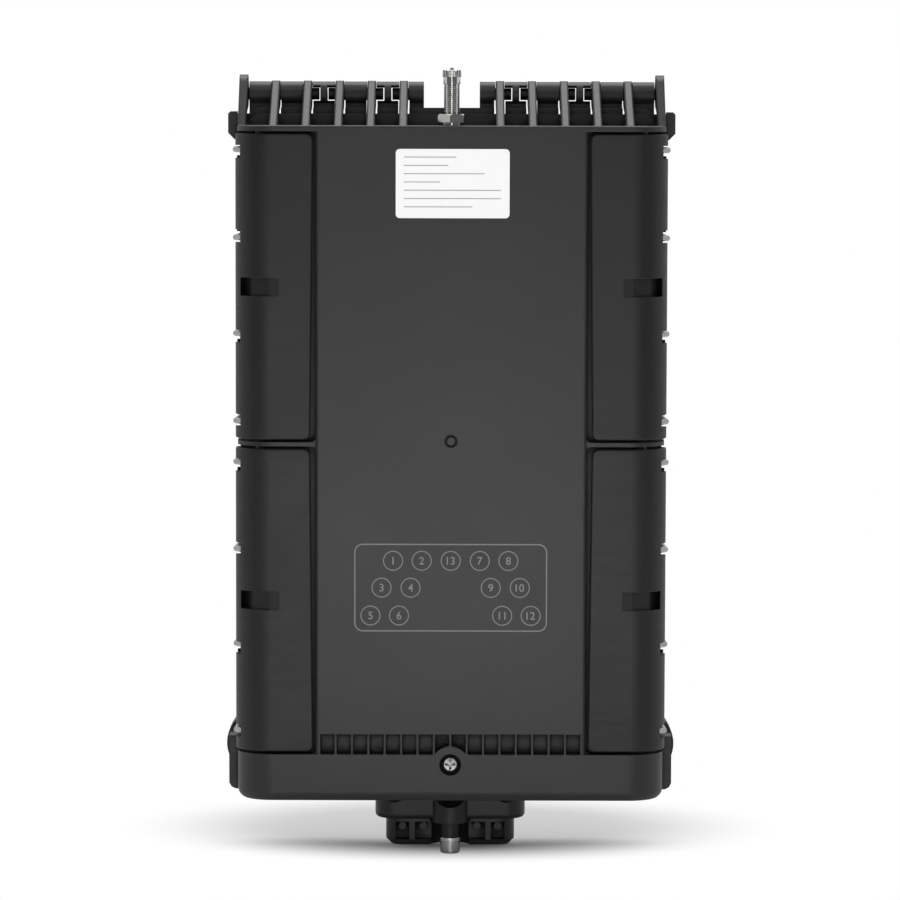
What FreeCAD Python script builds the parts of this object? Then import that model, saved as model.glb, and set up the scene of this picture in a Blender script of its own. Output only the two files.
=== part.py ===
import FreeCAD
import Part
import math
import os

# Fibre distribution box: a rear shell fixed to a wall or pole, and a front cover hinged along its
# top edge and pulled shut by four long latch levers with wire bails. Drop cable ports and an oval
# trunk cable gland leave through the bottom, inside a skirt.
# Millimetres. +X is to the right seen from the front, +Y runs towards the wall, +Z is up.
# The origin is the centre of the four rear mounting bosses, on their contact plane.

# Overall sizes
BOX_DEPTH = 110.0
BOX_HEIGHT = 338.0
COVER_DEPTH = 30.0
COVER_TUB_WIDTH = 196.0
WALL = 3.0
SEAL_GAP = 0.3

# Front cover
HOOD_OVERHANG = 9.0
HOOD_CORNER_RADIUS = 17.5
CAP_THICKNESS = 2.9
CAP_EDGE_RADIUS = 1.2
SKIRT_HEIGHT = 24.0
SKIRT_EDGE_RADIUS = 5.0
FLOOR_DROP = 0.65
DIVIDER_THICKNESS = 2.2
DIVIDER_SETBACK = 2.0
DIVIDER_FOOT_HEIGHT = 10.0
DIVIDER_FOOT_INSET = 1.0
PANEL_WALL = 3.5
PANEL_EDGE_RADIUS = 1.5
TUB_CORNER_RADIUS = 9.0
LATCH_RECESS = 8.0
RECESS_CORNER_RADIUS = 2.5
GATE_MARK_HEIGHT = 12.4
GATE_MARK_RADIUS = 3.2
GATE_MARK_RING = 1.2
GATE_MARK_DEPTH = 1.5

# Flanges at the seal
FLANGE_LIP = 2.0
FLANGE_DROP = 3.0
FLANGE_CORNER_RADIUS = 8.0
COVER_FLANGE_RISE = 5.8
COVER_FLANGE_THICKNESS = 3.0
SHELL_FLANGE_RISE = 8.8
SHELL_FLANGE_THICKNESS = 4.0
GASKET_WIDTH = 3.0
GASKET_GROOVE_DEPTH = 2.5
GASKET_EDGE = 1.2

# Pocket row and cover screw
POCKET_PITCH = 8.2
POCKET_RIB = 1.1
POCKET_HEIGHT = 10.2
POCKET_DEPTH = LATCH_RECESS
POCKET_BACKING = 3.0
SCREW_HEIGHT = 18.8
SCREW_BOSS_RADIUS = 9.4
SCREW_BOSS_LENGTH = 14.0
COUNTERBORE_RADIUS = 5.4
COUNTERBORE_DEPTH = 5.0
SCREW_RADIUS = 2.0
SCREW_HEAD_RADIUS = 3.8
SCREW_HEAD_HEIGHT = 2.8
SCREW_HEAD_ROUND = 0.7
SCREW_CROSS_LENGTH = 5.2
SCREW_CROSS_WIDTH = 1.3
SCREW_CROSS_DEPTH = 1.7
SCREW_REACH = 4.5
SCREW_CLEARANCE = 0.2
SCREW_CATCH_CLEARANCE = 0.6
SCREW_LUG_WIDTH = 16.0
SCREW_LUG_MARGIN = 5.0
SCREW_LUG_DEPTH = 6.0

# Hinge
HINGE_BEHIND_SEAL = 12.0
HINGE_ABOVE_TOP = 15.7
RIB_COUNT = 6
RIB_FIRST_X = 24.2
RIB_EDGE_GAP = 2.3
RIB_THICKNESS = 4.2
RIB_EDGE_CHAMFER = 0.75
RIB_SIDE_GAP = 0.75
RIB_EYE_RADIUS = 6.6
RIB_OUTER_EYE_RADIUS = 9.6
RIB_FOOT_SETBACK = 1.5
RIB_UNDERSIDE_GAP = 0.7
BARREL_RADIUS = 6.2
BARREL_SIDE_GAP = 0.25
BARREL_SHOULDER_DROP = 3.2
BARREL_INNER_X = 14.1
BARREL_WEB_FRONT = 4.0
BARREL_WEB_BACK = 9.0
HINGE_PIN_RADIUS = 3.0
HINGE_RUNNING_FIT = 0.05
HINGE_PIN_END_WALL = 1.6
WINDOW_ABOVE_PIN = 0.1
WINDOW_FRONT_RISE = 1.1
WINDOW_BELOW_PIN = 0.45
WINDOW_BRIDGE = 3.4
WINDOW_PIN_GAP = 0.6
WINDOWED_SEGMENTS = (1, 3)

# Latch levers
LEVER_WIDTH = 39.3
LEVER_TAPER = 1.5
LEVER_PROUD = 1.0
LEVER_SIDE_GAP = 1.3
LEVER_THICKNESS = 3.0
LEVER_INSET = 0.6
LEVER_TAIL = 1.9
LEVER_END_GAP = 1.2
LEVER_CORNER_RADIUS = 3.5
LEVER_EDGE_RADIUS = 1.0
PIVOT_REACH = 6.6
PIVOT_BEFORE_SEAL = 6.0
PIVOT_PIN_RADIUS = 1.25
PIVOT_EYE_RADIUS = 2.9
PIVOT_FIT = 0.05
EAR_THICKNESS = 4.0
EAR_SIDE_GAP = 0.5
EAR_LEG_GAP = 1.5
EAR_FRONT_ANGLE = 40.0
PRY_SLOT_HEIGHT = 9.2
PRY_SLOT_WIDTH = 6.0
PRY_RAMP_LENGTH = 13.5
PRY_RAMP_DEPTH = 1.6

# Wire bails and catches
WIRE_RADIUS = 1.5
BAIL_END_MARGIN = 30.0
BAIL_WIDTH = 44.0
BAIL_PIVOT_INSET = 2.1
BAIL_PIVOT_AHEAD = 9.0
BAIL_KNEE_REACH = 3.4
BAIL_KNEE_AHEAD = 1.0
BAIL_BAR_REACH = 5.5
BAIL_BAR_BEHIND_SEAL = 32.0
BAIL_BEND = 4.0
BAIL_FIT = 0.05
NOTCH_HEIGHT = 6.4
NOTCH_SHIFT = 1.0
NOTCH_DEPTH = 2.8
CATCH_GAP = 0.3
CATCH_LENGTH = 26.0
CATCH_RAMP = 12.0
CATCH_SEAT_DEPTH = 1.7
CATCH_SEAT_LENGTH = 6.0

# Rear shell
SHELL_STEP = 3.0
SHELL_CORNER_RADIUS = 10.0
SHELL_REAR_RADIUS = 5.0
BOSS_HEIGHT = 6.0
BOSS_RADIUS = 8.0
BOSS_SPACING_X = 140.0
BOSS_SPACING_Z = 220.0
REAR_RIB_THICKNESS = 3.0
REAR_RIB_HEIGHT = 4.5
INSERT_RADIUS = 4.0
INSERT_BORE_RADIUS = 2.5
INSERT_LENGTH = 12.0
SHELL_SKIRT_STEP = 5.0
BUMPER_REACH = 11.2
BUMPER_DEPTH = 12.0
BUMPER_TOP_DROP = 7.2
BUMPER_TOP_STEP = 1.0
BUMPER_TOP_BREAK = 1.2
BUMPER_CHAMFER = 3.2
BUMPER_FOOT_BREAK = 1.1
BUMPER_BOTTOM_GAP = 1.9
BUMPER_BOTTOM_RISE = 29.1
STRAP_EYE_INSET = 2.6
STRAP_EYE_HEIGHT = 17.5
STRAP_EYE_RADIUS = 17.7
STRAP_EYE_WALL = 3.5
STRAP_EYE_LENGTH = 18.0

# Valve on the cover's top
VALVE_BEHIND_FRONT = 13.0
VALVE_STEM_RADIUS = 3.8
VALVE_STEM_HEIGHT = 25.0
VALVE_TAIL = 6.0
VALVE_HEAD_RADIUS = 6.5
VALVE_HEAD_HEIGHT = 3.0
VALVE_WASHER_RADIUS = 6.3
VALVE_WASHER_THICKNESS = 1.5
VALVE_NUT_ACROSS_FLATS = 13.0
VALVE_NUT_HEIGHT = 4.2
VALVE_NUT_TURN = 22.3
VALVE_NUT_CHAMFER = 0.8
VALVE_CAP_RADIUS = 4.7
VALVE_CAP_HEIGHT = 7.0
VALVE_CAP_TOP = 2.5
VALVE_CAP_CHAMFER = 0.4
VALVE_CAP_CLEARANCE = 0.05
VALVE_CAP_KNURLS = 20
VALVE_CAP_KNURL_RADIUS = 0.4
VALVE_CAP_SKIRT = 3.5
VALVE_TIP_RADIUS = 1.1
VALVE_TIP_HEIGHT = 1.1
VALVE_CAP_SKIRT_RADIUS = 4.3

# Drop cable ports
PORT_PITCH = 29.0
PORT_ROWS = 3
PORT_SEAL_MARGIN = 16.0
PORT_REAR_MARGIN = 14.0
PORT_WALL_GAP = 4.0
PORT_GLAND_OFFSETS = (1.5, 12.5)
PORT_BODY_RADIUS = 6.9
PORT_BODY_CLEARANCE = 0.1
PORT_FLANGE_RADIUS = 9.0
PORT_FLANGE_THICKNESS = 3.0
PORT_NOSE_RADIUS = 7.4
PORT_NOSE_LENGTH = 12.0
PORT_SOCKET_WIDTH = 13.0
PORT_SOCKET_HEIGHT = 22.0
PORT_CAP_RADIUS = 9.2
PORT_CAP_FLAT_COUNT = 12
PORT_CAP_END = 3.6
PORT_CAP_FIT = 0.1
PORT_CAP_SEAT_GAP = 0.2

# Trunk cable gland
GLAND_WIDTH = 77.0
GLAND_PORT_MARGIN = 6.0
GLAND_REAR_MARGIN = 10.0
GLAND_HEIGHT = 40.75
GLAND_CORNER_RADIUS = 10.0
GLAND_EDGE_RADIUS = 2.4
GLAND_SCALLOP_GAP = 1.6
GLAND_SCALLOP_BOTTOM = 33.9
GLAND_END_WALL = 15.5
GLAND_BORE_WALL = 11.0
GLAND_BORE_FLAT = 1.0
SEAL_TOP_MARGIN = 6.0
CLAMP_END_STEP = 5.5
CLAMP_SIDE_STEP = 3.0
CLAMP_HEIGHT = 14.1
CLAMP_CORNER_RADIUS = 8.0
CLAMP_CHAMFER = 3.0
CLAMP_END_WALL = 5.0
CLAMP_WINDOW_WIDTHS = (7.0, 8.5)
CLAMP_WINDOW_RIB = 3.0
CLAMP_TOP_WALL = 1.9
CLAMP_WINDOW_HEIGHT = 9.1
CLAMP_WINDOW_DEPTH = 5.0
CLAMP_PEG_RADIUS = 2.1
CLAMP_PEG_LENGTH = 3.0
CLAMP_PEG_DROP = 2.4
TRUNK_HOLE_RADIUS = 7.0
TRUNK_HOLE_END = 9.5
TRUNK_PLUG_CLEARANCE = 0.1
TRUNK_PLUG_HEAD = 2.0
BOLT_BOSS_RADIUS = 9.7
BOLT_BOSS_HEIGHT = 16.0
BOLT_BOSS_DROP = 1.65
BOLT_SETBACK = 4.0
BOLT_RADIUS = 3.0
BOLT_CLEARANCE = 0.2
BOLT_SLEEVE_RADIUS = 5.0
BOLT_SLEEVE_HEIGHT = 7.85
BOLT_WASHER_RADIUS = 5.9
BOLT_WASHER_THICKNESS = 2.0
SPRING_WASHER_RADIUS = 5.1
SPRING_WASHER_THICKNESS = 1.8
SPRING_WASHER_SPLIT = 1.2
BOLT_HEAD_RADIUS = 5.0
BOLT_HEAD_HEIGHT = 4.45
BOLT_HEAD_ROUND = 0.9
BOLT_GRIP = 18.0
CLAMP_BOLT_GAP = 0.6

# Splice tray inside the shell
TRAY_SIDE_GAP = 23.0
TRAY_TOP_GAP = 25.75
TRAY_BOTTOM_GAP = 84.0
TRAY_STANDOFF = 24.0
TRAY_RIM = 11.0
TRAY_WALL = 2.0
TRAY_CORNER_RADIUS = 14.0
TRAY_HUB_RADIUS = 22.0
TRAY_HUB_HEIGHT = 9.0
TRAY_HUB_END = 45.0
TRAY_LID_THICKNESS = 1.5
TRAY_SCREW_INSET = 14.0
TRAY_SCREW_RADIUS = 1.5
TRAY_SCREW_LENGTH = 10.0
TRAY_SCREW_HEAD_RADIUS = 3.0
TRAY_SCREW_HEAD_HEIGHT = 2.2
TRAY_SCREW_FIT = 0.1
STANDOFF_RADIUS = 4.5
SPLICE_BLOCK_WIDTH = 40.0
SPLICE_BLOCK_HEIGHT = 34.0
SPLICE_BLOCK_THICKNESS = 7.0
SPLICE_SLOTS = 6
SPLICE_SLOT_WIDTH = 3.2
SPLICE_SLOT_DEPTH = 5.0
SPLITTER_WIDTH = 12.0
SPLITTER_HEIGHT = 90.0
SPLITTER_THICKNESS = 6.0
SPLITTER_EDGE_GAP = 6.0

# How far a cutting tool runs past a face, and a joined piece into its carrier
CUT = 1.0

# Places worked out from the sizes
FRONT_Y = -BOX_DEPTH
SEAL_Y = FRONT_Y + COVER_DEPTH
COVER_BACK_Y = SEAL_Y - SEAL_GAP
REAR_Y = -BOSS_HEIGHT
INNER_REAR_Y = REAR_Y - WALL
TOP_Z = BOX_HEIGHT / 2
BOTTOM_Z = -BOX_HEIGHT / 2
SKIRT_TOP_Z = BOTTOM_Z + SKIRT_HEIGHT
FLOOR_Z = SKIRT_TOP_Z - FLOOR_DROP
CAP_BOTTOM_Z = TOP_Z - CAP_THICKNESS
RECESS_Y = FRONT_Y + LATCH_RECESS
SCREW_Z = BOTTOM_Z + SCREW_HEIGHT

TUB_HALF = COVER_TUB_WIDTH / 2
HOOD_HALF = TUB_HALF + HOOD_OVERHANG
SHELL_HALF = TUB_HALF + SHELL_STEP
FLANGE_HALF = SHELL_HALF + FLANGE_LIP
SHELL_SKIRT_HALF = SHELL_HALF + SHELL_SKIRT_STEP
BUMPER_HALF = SHELL_HALF + BUMPER_REACH
STRAP_EYE_X = SHELL_HALF - STRAP_EYE_INSET
COVER_FLANGE_Z = TOP_Z + COVER_FLANGE_RISE
SHELL_FLANGE_Z = TOP_Z + SHELL_FLANGE_RISE

HINGE_Y = SEAL_Y + HINGE_BEHIND_SEAL
HINGE_Z = TOP_Z + HINGE_ABOVE_TOP
RIB_PITCH = (HOOD_HALF - RIB_EDGE_GAP - RIB_FIRST_X) / (RIB_COUNT - 1)
RIB_XS = [RIB_FIRST_X + RIB_PITCH * i for i in range(RIB_COUNT)]

LEVER_OUTER_X = HOOD_HALF + LEVER_PROUD
LEVER_INNER_X = LEVER_OUTER_X - LEVER_WIDTH
LEVER_BEND_X = LEVER_OUTER_X - HOOD_CORNER_RADIUS
LEVER_BEND_Y = FRONT_Y + LEVER_INSET + HOOD_CORNER_RADIUS
PANEL_HALF = LEVER_INNER_X - LEVER_SIDE_GAP
POCKET_COUNT = int(2 * PANEL_HALF / POCKET_PITCH)
LATCH_MID_Z = (CAP_BOTTOM_Z + SKIRT_TOP_Z) / 2
LEVER_HEIGHT = (CAP_BOTTOM_Z - SKIRT_TOP_Z - DIVIDER_THICKNESS) / 2 - 2 * LEVER_END_GAP
LEVER_CENTRE_OFFSET = DIVIDER_THICKNESS / 2 + LEVER_END_GAP + LEVER_HEIGHT / 2
PIVOT_X = TUB_HALF + PIVOT_REACH
PIVOT_Y = SEAL_Y - PIVOT_BEFORE_SEAL
PRY_SLOT_OUTER_X = LEVER_OUTER_X - LEVER_THICKNESS
PRY_SLOT_INNER_X = PRY_SLOT_OUTER_X - PRY_SLOT_WIDTH
PRY_RAMP_INNER_X = PRY_SLOT_INNER_X - PRY_RAMP_LENGTH

BAIL_OFFSET = LEVER_HEIGHT / 2 - BAIL_END_MARGIN
BAIL_PIVOT_X = PIVOT_X - BAIL_PIVOT_INSET
BAIL_PIVOT_Y = PIVOT_Y - BAIL_PIVOT_AHEAD
BAIL_KNEE_X = PIVOT_X + BAIL_KNEE_REACH
BAIL_KNEE_Y = PIVOT_Y - BAIL_KNEE_AHEAD
BAIL_BAR_X = SHELL_HALF + BAIL_BAR_REACH
BAIL_BAR_Y = SEAL_Y + BAIL_BAR_BEHIND_SEAL

VALVE_Y = FRONT_Y + VALVE_BEHIND_FRONT
VALVE_STEM_TOP_Z = TOP_Z + VALVE_STEM_HEIGHT

PORT_FIRST_ROW_Y = SEAL_Y + PORT_SEAL_MARGIN
PORT_ROW_PITCH = (REAR_Y - PORT_REAR_MARGIN - PORT_FIRST_ROW_Y) / (PORT_ROWS - 1)
PORT_LIMIT_X = SHELL_HALF - WALL - PORT_FLANGE_RADIUS - PORT_WALL_GAP
PORT_FLANGE_Z = FLOOR_Z - PORT_FLANGE_THICKNESS

GLAND_FRONT_Y = PORT_FIRST_ROW_Y + GLAND_PORT_MARGIN
GLAND_REAR_Y = REAR_Y - GLAND_REAR_MARGIN
GLAND_MID_Y = (GLAND_FRONT_Y + GLAND_REAR_Y) / 2
GLAND_BOTTOM_Z = FLOOR_Z - GLAND_HEIGHT
GLAND_BORE_WIDTH = GLAND_WIDTH - 2 * GLAND_END_WALL
GLAND_BORE_DEPTH = GLAND_REAR_Y - GLAND_FRONT_Y - 2 * GLAND_BORE_WALL
GLAND_BORE_RADIUS = (GLAND_BORE_DEPTH - GLAND_BORE_FLAT) / 2
CLAMP_WIDTH = GLAND_WIDTH - 2 * CLAMP_END_STEP
CLAMP_FRONT_Y = GLAND_FRONT_Y + CLAMP_SIDE_STEP
CLAMP_REAR_Y = GLAND_REAR_Y - CLAMP_SIDE_STEP
CLAMP_BOTTOM_Z = GLAND_BOTTOM_Z - CLAMP_HEIGHT
TRUNK_HOLE_X = GLAND_BORE_WIDTH / 2 - TRUNK_HOLE_END
BOLT_Y = GLAND_FRONT_Y + BOLT_SETBACK
BOLT_BOSS_Z = GLAND_BOTTOM_Z - BOLT_BOSS_DROP
BOLT_WASHER_Z = BOLT_BOSS_Z - BOLT_SLEEVE_HEIGHT
SPRING_WASHER_Z = BOLT_WASHER_Z - BOLT_WASHER_THICKNESS
BOLT_SEAT_Z = SPRING_WASHER_Z - SPRING_WASHER_THICKNESS

TRAY_BACK_Y = INNER_REAR_Y - TRAY_STANDOFF
TRAY_FLOOR_Y = TRAY_BACK_Y - TRAY_WALL
TRAY_FRONT_Y = TRAY_BACK_Y - TRAY_RIM
TRAY_HALF = SHELL_HALF - WALL - TRAY_SIDE_GAP
TRAY_TOP_Z = TOP_Z - WALL - TRAY_TOP_GAP
TRAY_BOTTOM_Z = FLOOR_Z + WALL + TRAY_BOTTOM_GAP
TRAY_CENTRE_Z = (TRAY_TOP_Z + TRAY_BOTTOM_Z) / 2
TRAY_HUB_OFFSET = TRAY_TOP_Z - TRAY_CENTRE_Z - TRAY_HUB_END
TRAY_SCREW_XZ = [(sx * (TRAY_HALF - TRAY_SCREW_INSET),
                  TRAY_CENTRE_Z + sz * (TRAY_TOP_Z - TRAY_CENTRE_Z - TRAY_SCREW_INSET))
                 for sx in (-1, 1) for sz in (-1, 1)]

X_AXIS = FreeCAD.Vector(1, 0, 0)
Y_AXIS = FreeCAD.Vector(0, 1, 0)
Z_AXIS = FreeCAD.Vector(0, 0, 1)


def block(x0, x1, y0, y1, z0, z1):
    """A box between two corners."""
    return Part.makeBox(x1 - x0, y1 - y0, z1 - z0, FreeCAD.Vector(x0, y0, z0))


def rod_x(radius, x0, x1, y, z):
    return Part.makeCylinder(radius, x1 - x0, FreeCAD.Vector(x0, y, z), X_AXIS)


def rod_y(radius, x, y0, y1, z):
    return Part.makeCylinder(radius, y1 - y0, FreeCAD.Vector(x, y0, z), Y_AXIS)


def rod_z(radius, x, y, z0, z1):
    return Part.makeCylinder(radius, z1 - z0, FreeCAD.Vector(x, y, z0), Z_AXIS)


def prism(points, sweep):
    """A straight prism on a closed outline of 3-D points."""
    corners = [FreeCAD.Vector(*p) for p in points]
    return Part.Face(Part.makePolygon(corners + corners[:1])).extrude(sweep)


def prism_x(points, x0, x1):
    return prism([(x0, y, z) for y, z in points], X_AXIS * (x1 - x0))


def prism_y(points, y0, y1):
    return prism([(x, y0, z) for x, z in points], Y_AXIS * (y1 - y0))


def prism_z(points, z0, z1):
    return prism([(x, y, z0) for x, y in points], Z_AXIS * (z1 - z0))


def regular_outline(x, y, radius, sides, turn=0.0):
    """Corners of a regular polygon seen from above, turned by some degrees."""
    angles = [math.radians(turn) + 2 * math.pi * i / sides for i in range(sides)]
    return [(x + radius * math.cos(a), y + radius * math.sin(a)) for a in angles]


def edges_along(shape, axis):
    """The straight edges of a shape that run along an axis."""
    return [e for e in shape.Edges if e.Curve.TypeId == "Part::GeomLine"
            and abs(e.tangentAt(e.FirstParameter).dot(axis)) > 0.999]


def edges_at_z(shape, z, back_y):
    """The edges in a level plane, apart from the straight one along the back."""
    return [e for e in shape.Edges if abs(e.BoundBox.ZMin - z) < 1e-6
            and abs(e.BoundBox.ZMax - z) < 1e-6 and e.BoundBox.YMin < back_y - 1e-6]


def frame_prism(half_width, z0, z1, radius, y0, y1):
    """A rounded rectangle seen from the front, extruded along Y."""
    body = block(-half_width, half_width, y0, y1, z0, z1)
    return body.makeFillet(radius, edges_along(body, Y_AXIS))


def plan_prism(width, y0, y1, radius, z0, z1):
    """A rounded rectangle seen from above, extruded along Z."""
    body = block(-width / 2, width / 2, y0, y1, z0, z1)
    return body.makeFillet(radius, edges_along(body, Z_AXIS))


def hood(half_width, front_y, back_y, radius, z0, z1):
    """A plan shape with its two front corners rounded, extruded along Z."""
    body = block(-half_width, half_width, front_y, back_y, z0, z1)
    front = [e for e in edges_along(body, Z_AXIS) if abs(e.BoundBox.YMax - front_y) < 1e-6]
    return body.makeFillet(radius, front)


def fuse_all(shapes):
    return shapes[0].multiFuse(shapes[1:])


def cut_all(shape, tools):
    return shape.cut(tools[0].multiFuse(tools[1:]) if len(tools) > 1 else tools[0])


def mirrored(shape):
    return shape.mirror(FreeCAD.Vector(0, 0, 0), X_AXIS)


def on_both_sides(shapes):
    return shapes + [mirrored(s) for s in shapes]


def save(name, shape):
    shape.exportStep(f"parts/{name}.step")


def tangent_point(py, pz, radius):
    """Where a line from a point in front of the hinge meets the top of a circle round its axis."""
    dy = HINGE_Y - py
    dz = HINGE_Z - pz
    reach = math.hypot(dy, dz)
    angle = math.atan2(dz, dy) + math.asin(radius / reach)
    run = math.sqrt(reach ** 2 - radius ** 2)
    return py + run * math.cos(angle), pz + run * math.sin(angle)


def corner_setback(x):
    """How far behind the front the hood's edge lies, at a distance from the middle."""
    past = max(0.0, x - HOOD_HALF + HOOD_CORNER_RADIUS)
    return HOOD_CORNER_RADIUS - math.sqrt(HOOD_CORNER_RADIUS ** 2 - past ** 2)


def rib_edge_wedge(x, side, foot, top):
    """Wedge that takes one edge off a rib's sloping front."""
    run = FreeCAD.Vector(0, top[0] - foot[0], top[1] - foot[1])
    ahead = run * (CUT / run.Length)
    outward = FreeCAD.Vector(0, -run.z, run.y) * (RIB_EDGE_CHAMFER / run.Length)
    sideways = X_AXIS * side * RIB_EDGE_CHAMFER
    corner = FreeCAD.Vector(x, *foot) + X_AXIS * side * (RIB_THICKNESS / 2) - ahead
    sweep = run + ahead + run * (RIB_OUTER_EYE_RADIUS / run.Length)
    return prism([corner - outward, corner + outward + sideways, corner - sideways], sweep)


def hinge_rib(x, eye_radius):
    """A fin from the cover's lip up to a round eye on the hinge axis, its front edges chamfered."""
    foot_y = FRONT_Y + RIB_FOOT_SETBACK + corner_setback(x + RIB_THICKNESS / 2)
    top = tangent_point(foot_y, TOP_Z, eye_radius)
    outline = [
        (foot_y, TOP_Z - CUT),
        (foot_y, TOP_Z),
        top,
        (HINGE_Y, HINGE_Z),
        (HINGE_Y, HINGE_Z - RIB_EYE_RADIUS),
        (COVER_BACK_Y, COVER_FLANGE_Z + RIB_UNDERSIDE_GAP),
        (COVER_BACK_Y, TOP_Z - CUT),
    ]
    x0 = x - RIB_THICKNESS / 2
    x1 = x + RIB_THICKNESS / 2
    eye = rod_x(eye_radius, x0, x1, HINGE_Y, HINGE_Z)
    keep = block(x0, x1, FRONT_Y, HINGE_Y + eye_radius, TOP_Z - CUT, HINGE_Z + eye_radius)
    if eye_radius > RIB_EYE_RADIUS:
        low = rod_x(RIB_EYE_RADIUS, x0, x1, HINGE_Y, HINGE_Z)
        upper = block(x0, x1, HINGE_Y - eye_radius, HINGE_Y + eye_radius,
                      HINGE_Z, HINGE_Z + eye_radius)
        eye = low.fuse(eye.common(upper))
    wedges = [rib_edge_wedge(x, side, (foot_y, TOP_Z), top) for side in (-1, 1)]
    return cut_all(prism_x(outline, x0, x1).fuse(eye).common(keep), wedges)


def hinge_ribs():
    ribs = []
    for x in RIB_XS[:-1]:
        ribs.append(hinge_rib(x, RIB_EYE_RADIUS))
    ribs.append(hinge_rib(RIB_XS[-1], RIB_OUTER_EYE_RADIUS))
    return on_both_sides(ribs)


def pivot_lugs():
    """Lugs on the cover's side wall that hold the lever pivot pins, between the lever's ears."""
    lugs = []
    for z in lug_heights():
        z1 = z + EAR_THICKNESS
        arm = block(TUB_HALF - WALL / 2, PIVOT_X, PIVOT_Y - PIVOT_EYE_RADIUS,
                    PIVOT_Y + PIVOT_EYE_RADIUS, z, z1)
        lugs.append(arm.fuse(rod_z(PIVOT_EYE_RADIUS, PIVOT_X, PIVOT_Y, z, z1)))
    return on_both_sides(lugs)


def lever_centres():
    return (LATCH_MID_Z + LEVER_CENTRE_OFFSET, LATCH_MID_Z - LEVER_CENTRE_OFFSET)


def ear_offsets():
    """Lower faces of a lever's four ears, from the lever's centre: each just inside a bail leg."""
    inner = BAIL_OFFSET - BAIL_WIDTH / 2 + WIRE_RADIUS + EAR_LEG_GAP
    outer = BAIL_OFFSET + BAIL_WIDTH / 2 - WIRE_RADIUS - EAR_LEG_GAP - EAR_THICKNESS
    return (inner, outer, -inner - EAR_THICKNESS, -outer - EAR_THICKNESS)


def lug_heights():
    """Lower faces of the cover's lugs, each beside a lever ear, towards the bail's middle."""
    heights = []
    step = EAR_THICKNESS + EAR_SIDE_GAP
    for centre in lever_centres():
        for offset in ear_offsets():
            middle = BAIL_OFFSET if offset > 0 else -BAIL_OFFSET
            towards = step if offset < middle - EAR_THICKNESS / 2 else -step
            heights.append(centre + offset + towards)
    return heights


def cover_pockets(boss):
    """The row of small pockets under the panel, stopped by the screw boss."""
    z1 = SKIRT_TOP_Z + POCKET_HEIGHT
    pockets = []
    for i in range(POCKET_COUNT):
        x = (i - (POCKET_COUNT - 1) / 2) * POCKET_PITCH
        half = (POCKET_PITCH - POCKET_RIB) / 2
        pocket = block(x - half, x + half, FRONT_Y - CUT, FRONT_Y + POCKET_DEPTH, SKIRT_TOP_Z, z1)
        pockets.append(pocket.cut(boss))
    return pockets


def recess_fillets():
    """Rounded corners of the latch recesses, where the panel meets the cap, the divider and the skirt."""
    front_y = FRONT_Y + DIVIDER_SETBACK
    x1 = PANEL_HALF + RECESS_CORNER_RADIUS
    half = DIVIDER_THICKNESS / 2
    fillets = []
    for z, up in ((CAP_BOTTOM_Z, -1), (LATCH_MID_Z + half, 1), (LATCH_MID_Z - half, -1), (SKIRT_TOP_Z, 1)):
        z1 = z + up * RECESS_CORNER_RADIUS
        corner = block(PANEL_HALF - CUT, x1, front_y, RECESS_Y + CUT, min(z, z1), max(z, z1))
        fillets.append(corner.cut(rod_y(RECESS_CORNER_RADIUS, x1, front_y - CUT, RECESS_Y + 2 * CUT, z1)))
    return on_both_sides(fillets)


def divider_feet():
    """Stops on the cover's flange behind the ends of the divider."""
    half = DIVIDER_FOOT_HEIGHT / 2
    return on_both_sides([block(FLANGE_HALF - WALL, HOOD_HALF - DIVIDER_FOOT_INSET,
                                COVER_BACK_Y - COVER_FLANGE_THICKNESS, COVER_BACK_Y,
                                LATCH_MID_Z - half, LATCH_MID_Z + half)])


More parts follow.
